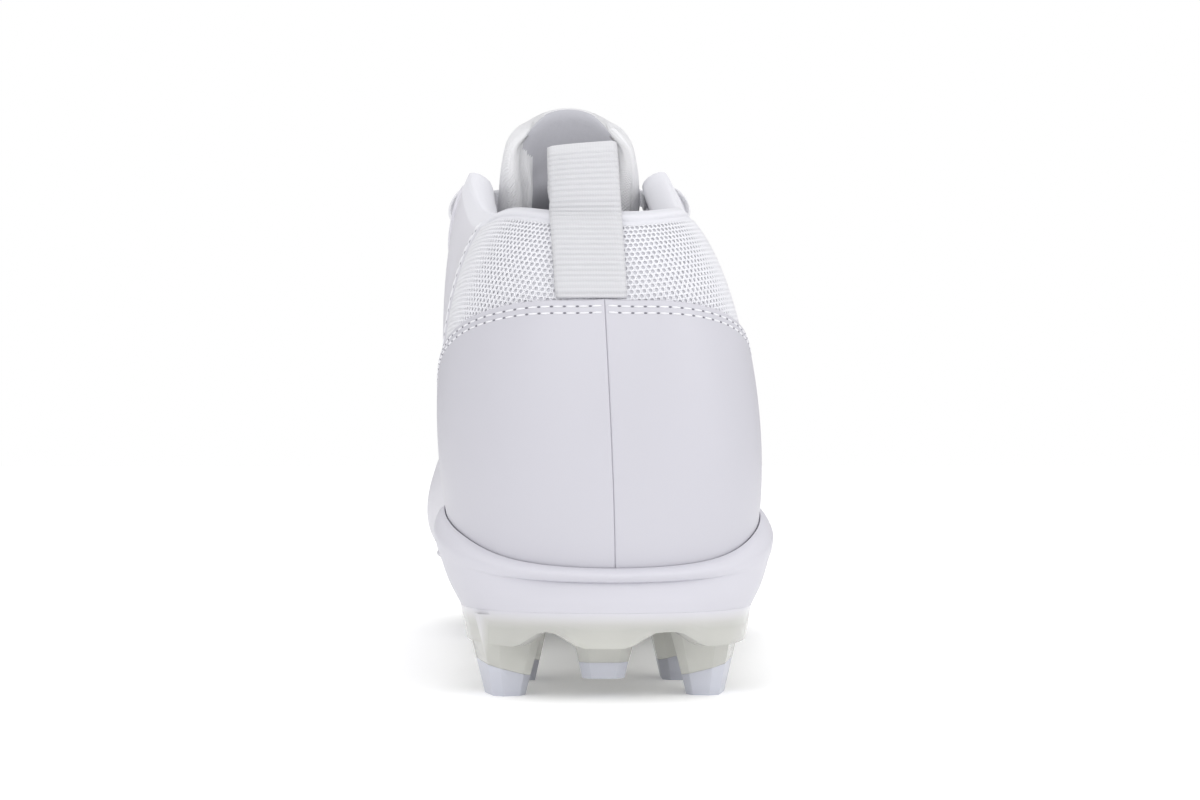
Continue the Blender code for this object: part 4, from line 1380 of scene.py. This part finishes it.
class CleatLooks(bpy.types.PropertyGroup):
    mesh_pitch: length_setting("Mesh pitch", "Distance between the mesh's holes", 1.28)
    mesh_yarn: length_setting("Mesh yarn", "Radius of the yarn round each hole", 0.25)
    stitch_pitch: length_setting("Stitch pitch", "Length of one stitch with its gap", 2.9)
    thread_radius: length_setting("Thread radius", "Radius of the sewing thread", 0.22)
    webbing_rib: length_setting("Webbing rib", "Distance between the ribs of the pull loop", 1.25)
    lace_width: length_setting("Lace width", "Width of the flat lace", 6.2)
    lace_thickness: length_setting("Lace thickness", "Thickness of the flat lace", 1.4)
    eyelet_radius: length_setting("Eyelet radius", "Radius of the eyelets' rims", 2.7)
    # The heel counter's colour is darker than the quarters': painted shade, as the shoe is white all over
    synthetic: colour_setting("Synthetic", "Heel counter", "#C4C3CB")
    quarter: colour_setting("Quarters", "Quarters, vamp and eyestay", "#D3D2D9")
    mesh: colour_setting("Mesh", "Yarn of the collar mesh", "#ECECF1")
    backing: colour_setting("Backing", "Foam behind the collar mesh, and the collar's binding", "#DADAE0")
    fabric: colour_setting("Fabric", "Knit that covers the tongue", "#EFEFF2")
    # Grey of the lining, darkened further as painted shade for the insides of the tongue and collar
    lining: colour_setting("Lining", "Lining inside collar and tongue", "#B8B8BF")
    webbing: colour_setting("Webbing", "Tape of the pull loop", "#D0D0D4")
    lace: colour_setting("Lace", "Flat lace", "#F0F0F4")
    foam: colour_setting("Foam", "Midsole and rim", "#CDCCD4")
    clear: colour_setting("Clear plate", "Clear plate and stud bodies", "#EEEEE8")
    tips: colour_setting("Tips", "Hard tips of the studs", "#C6C8D2")
    insole: colour_setting("Insole", "Cloth of the insole", "#DADADF")
    thread: colour_setting("Thread", "Sewing thread", "#EDEDF1")
    # Colour of the painted shade in needle holes and eyelets
    hole: colour_setting("Holes", "Shade in needle holes and eyelets", "#85858E")


# One operator for each piece or group of like pieces


class PieceMaker:
    """What the operators share: each makes its pieces with the scene's chosen looks."""

    def execute(self, context):
        self.make(context.scene.cleat_looks)
        return {"FINISHED"}


class CLEAT_OT_upper(PieceMaker, bpy.types.Operator):
    """Make the hollow upper with its quarter panels, collar binding and lining"""

    bl_idname = "cleat.make_upper"
    bl_label = "Upper"

    def make(self, looks):
        part, kinds = upper_part()
        mesh = mesh_of("upper_shell", [part])
        quarter = smooth_synthetic("coated_synthetic_quarter", looks.quarter)
        materials = [quarter, mesh_backing(looks), lining_fabric(looks), collar_binding(looks)]
        add_piece("upper_shell", mesh, materials, ["upper"])
        mesh.polygons.foreach_set("material_index", kinds)


class CLEAT_OT_collar_mesh(PieceMaker, bpy.types.Operator):
    """Knit the mesh panel round the back of the collar"""

    bl_idname = "cleat.make_collar_mesh"
    bl_label = "Collar mesh"

    def make(self, looks):
        sizes = {"Ring Radius": looks.mesh_pitch * 0.47, "Wire Radius": looks.mesh_yarn}
        places = mesh_places(looks.mesh_pitch / MM)
        rings = ring_tree("knit_rings", 8, 3)
        add_set("collar_mesh", rings, places, sizes, knitted_mesh(looks))


class CLEAT_OT_overlays(PieceMaker, bpy.types.Operator):
    """Make the two halves of the heel counter and the eyestay"""

    bl_idname = "cleat.make_overlays"
    bl_label = "Counter and eyestay"

    def make(self, looks):
        # Counter in a darker copy of the quarters' synthetic: painted shade
        material = smooth_synthetic("coated_synthetic", looks.synthetic)
        for side, name in ((1, "lateral"), (-1, "medial")):
            part = panel_part(counter_columns(side), PANEL_THICK, 0.3, 22)
            mesh = mesh_of("heel_counter_" + name, [part])
            add_piece("heel_counter_" + name, mesh, [material], ["counter_" + name])
        mesh = mesh_of("lace_stay", [panel_part(eyestay_columns(), PANEL_THICK, 0.0, 12)])
        material = smooth_synthetic("coated_synthetic_stay", looks.quarter)
        add_piece("lace_stay", mesh, [material], ["eyestay"])


class CLEAT_OT_stitching(PieceMaker, bpy.types.Operator):
    """Sew the counter, eyestay and quarter panels"""

    bl_idname = "cleat.make_stitching"
    bl_label = "Stitching"

    def make(self, looks):
        pitch = looks.stitch_pitch / MM
        stitches, hole_shades = [], []
        for line in seam_lines():
            stitches += seam_places(line, pitch)
            # Between the stitches go flat dark beads: painted shade of the needle holes
            hole_shades += seam_places(line, pitch, pitch / 2)
        beads = bead_tree("thread_beads")
        radius = looks.thread_radius
        sizes = {"Half Length": looks.stitch_pitch * 0.42, "Half Width": radius, "Half Height": radius}
        add_set("stitches", beads, stitches, sizes, bonded_thread(looks))
        sizes = {"Half Length": radius * 2.0, "Half Width": radius * 1.1, "Half Height": radius * 0.35}
        add_set("painted_needle_shades", beads, hole_shades, sizes, painted_hole_shade(looks))


class CLEAT_OT_tongue(PieceMaker, bpy.types.Operator):
    """Make the padded tongue"""

    bl_idname = "cleat.make_tongue"
    bl_label = "Tongue"

    def make(self, looks):
        part, kinds = tongue_part()
        mesh = mesh_of("padded_tongue", [part])
        materials = [knit_fabric(looks), lining_fabric(looks)]
        piece = add_piece("padded_tongue", mesh, materials, ["tongue"])
        mesh.polygons.foreach_set("material_index", np.concatenate([kinds, [0, 0]]))


class CLEAT_OT_insole(PieceMaker, bpy.types.Operator):
    """Make the insole"""

    bl_idname = "cleat.make_insole"
    bl_label = "Insole"

    def make(self, looks):
        mesh = mesh_of("sock_liner", [insole_part()], merge=True)
        add_piece("sock_liner", mesh, [insole_cloth(looks)], ["insole"])


class CLEAT_OT_midsole(PieceMaker, bpy.types.Operator):
    """Make the white midsole cup with its rim"""

    bl_idname = "cleat.make_midsole"
    bl_label = "Midsole"

    def make(self, looks):
        mesh = mesh_of("rimmed_midsole", [midsole_part()], merge=True, sharp_angle=50)
        add_piece("rimmed_midsole", mesh, [moulded_foam(looks)], ["midsole"])


class CLEAT_OT_plate(PieceMaker, bpy.types.Operator):
    """Mould the clear plate with its stud bodies"""

    bl_idname = "cleat.make_plate"
    bl_label = "Plate"

    def make(self, looks):
        add_piece("clear_plate", plate_mesh(), [clear_plastic(looks)], ["outsole_plate"])


class CLEAT_OT_tips(PieceMaker, bpy.types.Operator):
    """Mould the hard tips of the studs"""

    bl_idname = "cleat.make_tips"
    bl_label = "Stud tips"

    def make(self, looks):
        mesh = joined_mesh("stud_tips", [stud_mesh(stud, True) for stud in STUDS])
        mesh = bevelled_mesh(mesh, 0.45, 28, 30)
        nodes = ["tip_" + stud.name for stud in STUDS]
        add_piece("stud_tips", mesh, [hard_tip(looks)], nodes)


class CLEAT_OT_pull_loop(PieceMaker, bpy.types.Operator):
    """Weave the pull loop"""

    bl_idname = "cleat.make_pull_loop"
    bl_label = "Pull loop"

    def make(self, looks):
        mesh = mesh_of("webbing_loop", [pull_loop_part(looks.webbing_rib / MM)])
        add_piece("webbing_loop", mesh, [ribbed_webbing(looks)], ["pull_loop"])


class CLEAT_OT_lace(PieceMaker, bpy.types.Operator):
    """Run the lace through its eyelets"""

    bl_idname = "cleat.make_lace"
    bl_label = "Lace and eyelets"

    def make(self, looks):
        mesh = mesh_of("laced_lace", lace_parts(looks.lace_width / MM, looks.lace_thickness / MM))
        add_piece("laced_lace", mesh, [woven_lace(looks)], ["lace"])
        places = eyelet_places()
        radius = looks.eyelet_radius
        rim = smooth_synthetic("coated_synthetic_eyelets", looks.quarter)
        sizes = {"Ring Radius": radius, "Wire Radius": radius * 0.2}
        add_set("eyelet_rims", ring_tree("eyelet_rings", 28, 8), places, sizes, rim)
        # A flat dark disc in each eyelet is painted shade for its hole
        sizes = {"Half Length": radius * 0.9, "Half Width": radius * 0.9, "Half Height": 0.1 * MM}
        shades = bead_tree("eyelet_shades")
        add_set("eyelet_painted_shades", shades, places, sizes, painted_hole_shade(looks))


def add_soft_light(name, place, aim, wide, high, power):
    data = bpy.data.lights.new(name, "AREA")
    data.shape = "RECTANGLE"
    data.size, data.size_y, data.energy = wide, high, power
    light = new_object(name, data)
    light.location = place
    light.rotation_euler = (Vector(aim) - Vector(place)).to_track_quat("-Z", "Y").to_euler()


def studio_world():
    """White surroundings, brighter overhead, and pure white where they are seen behind the shoe."""
    world = bpy.data.worlds.new("white_studio")
    world.use_nodes = True
    tree = world.node_tree
    place = add_node(tree, "ShaderNodeTexCoord")
    up = add_node(tree, "ShaderNodeSeparateXYZ", {0: place.outputs["Generated"]}).outputs["Z"]
    sky = {"Value": up, "To Min": SKY_LOW, "To Max": SKY_HIGH}
    light = add_node(tree, "ShaderNodeMapRange", sky).outputs[0]
    seen = add_node(tree, "ShaderNodeLightPath").outputs["Is Camera Ray"]
    shares = {"Factor": seen, "A": light, "B": 1.0}
    strength = add_node(tree, "ShaderNodeMix", shares, data_type="FLOAT")
    background = tree.nodes["Background"]
    background.inputs["Color"].default_value = (1, 1, 1, 1)
    tree.links.new(strength.outputs[0], background.inputs["Strength"])
    return world


def floor_mesh():
    """Wide plain floor."""
    half = 6.0
    mesh = bpy.data.meshes.new("pale_floor")
    corners = [(-half, -half, 0), (half, -half, 0), (half, half, 0), (-half, half, 0)]
    mesh.from_pydata(corners, [], [(0, 1, 2, 3)])
    return mesh


class CLEAT_OT_stage(bpy.types.Operator):
    """Set the pale floor, the soft lights and the camera"""

    bl_idname = "cleat.make_stage"
    bl_label = "Stage"

    def execute(self, context):
        scene = context.scene
        # Matt white acrylic sheet of a light table: no shine, and lit a little from below
        white = linear("#FAFAFA")
        glow = {"Emission_Strength": FLOOR_GLOW, "Emission_Color": (*white, 1)}
        sheet = clouded("acrylic_light_table", white, 0.95, (300, 3.0), 0.995, **glow)
        floor = new_object("pale_floor", floor_mesh())
        floor.data.materials.append(sheet)
        scene.world = studio_world()
        for name, settings in LIGHTS.items():
            add_soft_light(name, *settings)
        scene.view_settings.view_transform = "Standard"
        camera = new_object("camera", bpy.data.cameras.new("camera"))
        camera.data.lens = CAMERA_LENS
        camera.data.sensor_width = 36
        camera.data.clip_start = 0.01
        camera.location = CAMERA_AT
        camera.rotation_euler = Vector(CAMERA_AIM).to_track_quat("-Z", "Y").to_euler()
        scene.camera = camera
        return {"FINISHED"}


OPERATORS = (
    CLEAT_OT_upper,
    CLEAT_OT_collar_mesh,
    CLEAT_OT_overlays,
    CLEAT_OT_stitching,
    CLEAT_OT_tongue,
    CLEAT_OT_insole,
    CLEAT_OT_midsole,
    CLEAT_OT_plate,
    CLEAT_OT_tips,
    CLEAT_OT_pull_loop,
    CLEAT_OT_lace,
    CLEAT_OT_stage,
)


class CLEAT_PT_looks(bpy.types.Panel):
    """Sizes, colours and pieces of the cleat"""

    bl_idname = "CLEAT_PT_looks"
    bl_label = "Football cleat"
    bl_space_type = "VIEW_3D"
    bl_region_type = "UI"
    bl_category = "Cleat"

    def draw(self, context):
        for name in CleatLooks.__annotations__:
            self.layout.prop(context.scene.cleat_looks, name)
        for operator in OPERATORS:
            self.layout.operator(operator.bl_idname)


def register():
    for kind in (CleatLooks, *OPERATORS, CLEAT_PT_looks):
        bpy.utils.register_class(kind)
    bpy.types.Scene.cleat_looks = PointerProperty(type=CleatLooks)


def unregister():
    del bpy.types.Scene.cleat_looks
    for kind in reversed((CleatLooks, *OPERATORS, CLEAT_PT_looks)):
        bpy.utils.unregister_class(kind)


def main():
    register()
    for operator in OPERATORS:
        group, name = operator.bl_idname.split(".")
        getattr(getattr(bpy.ops, group), name)()


if __name__ == "__main__":
    main()
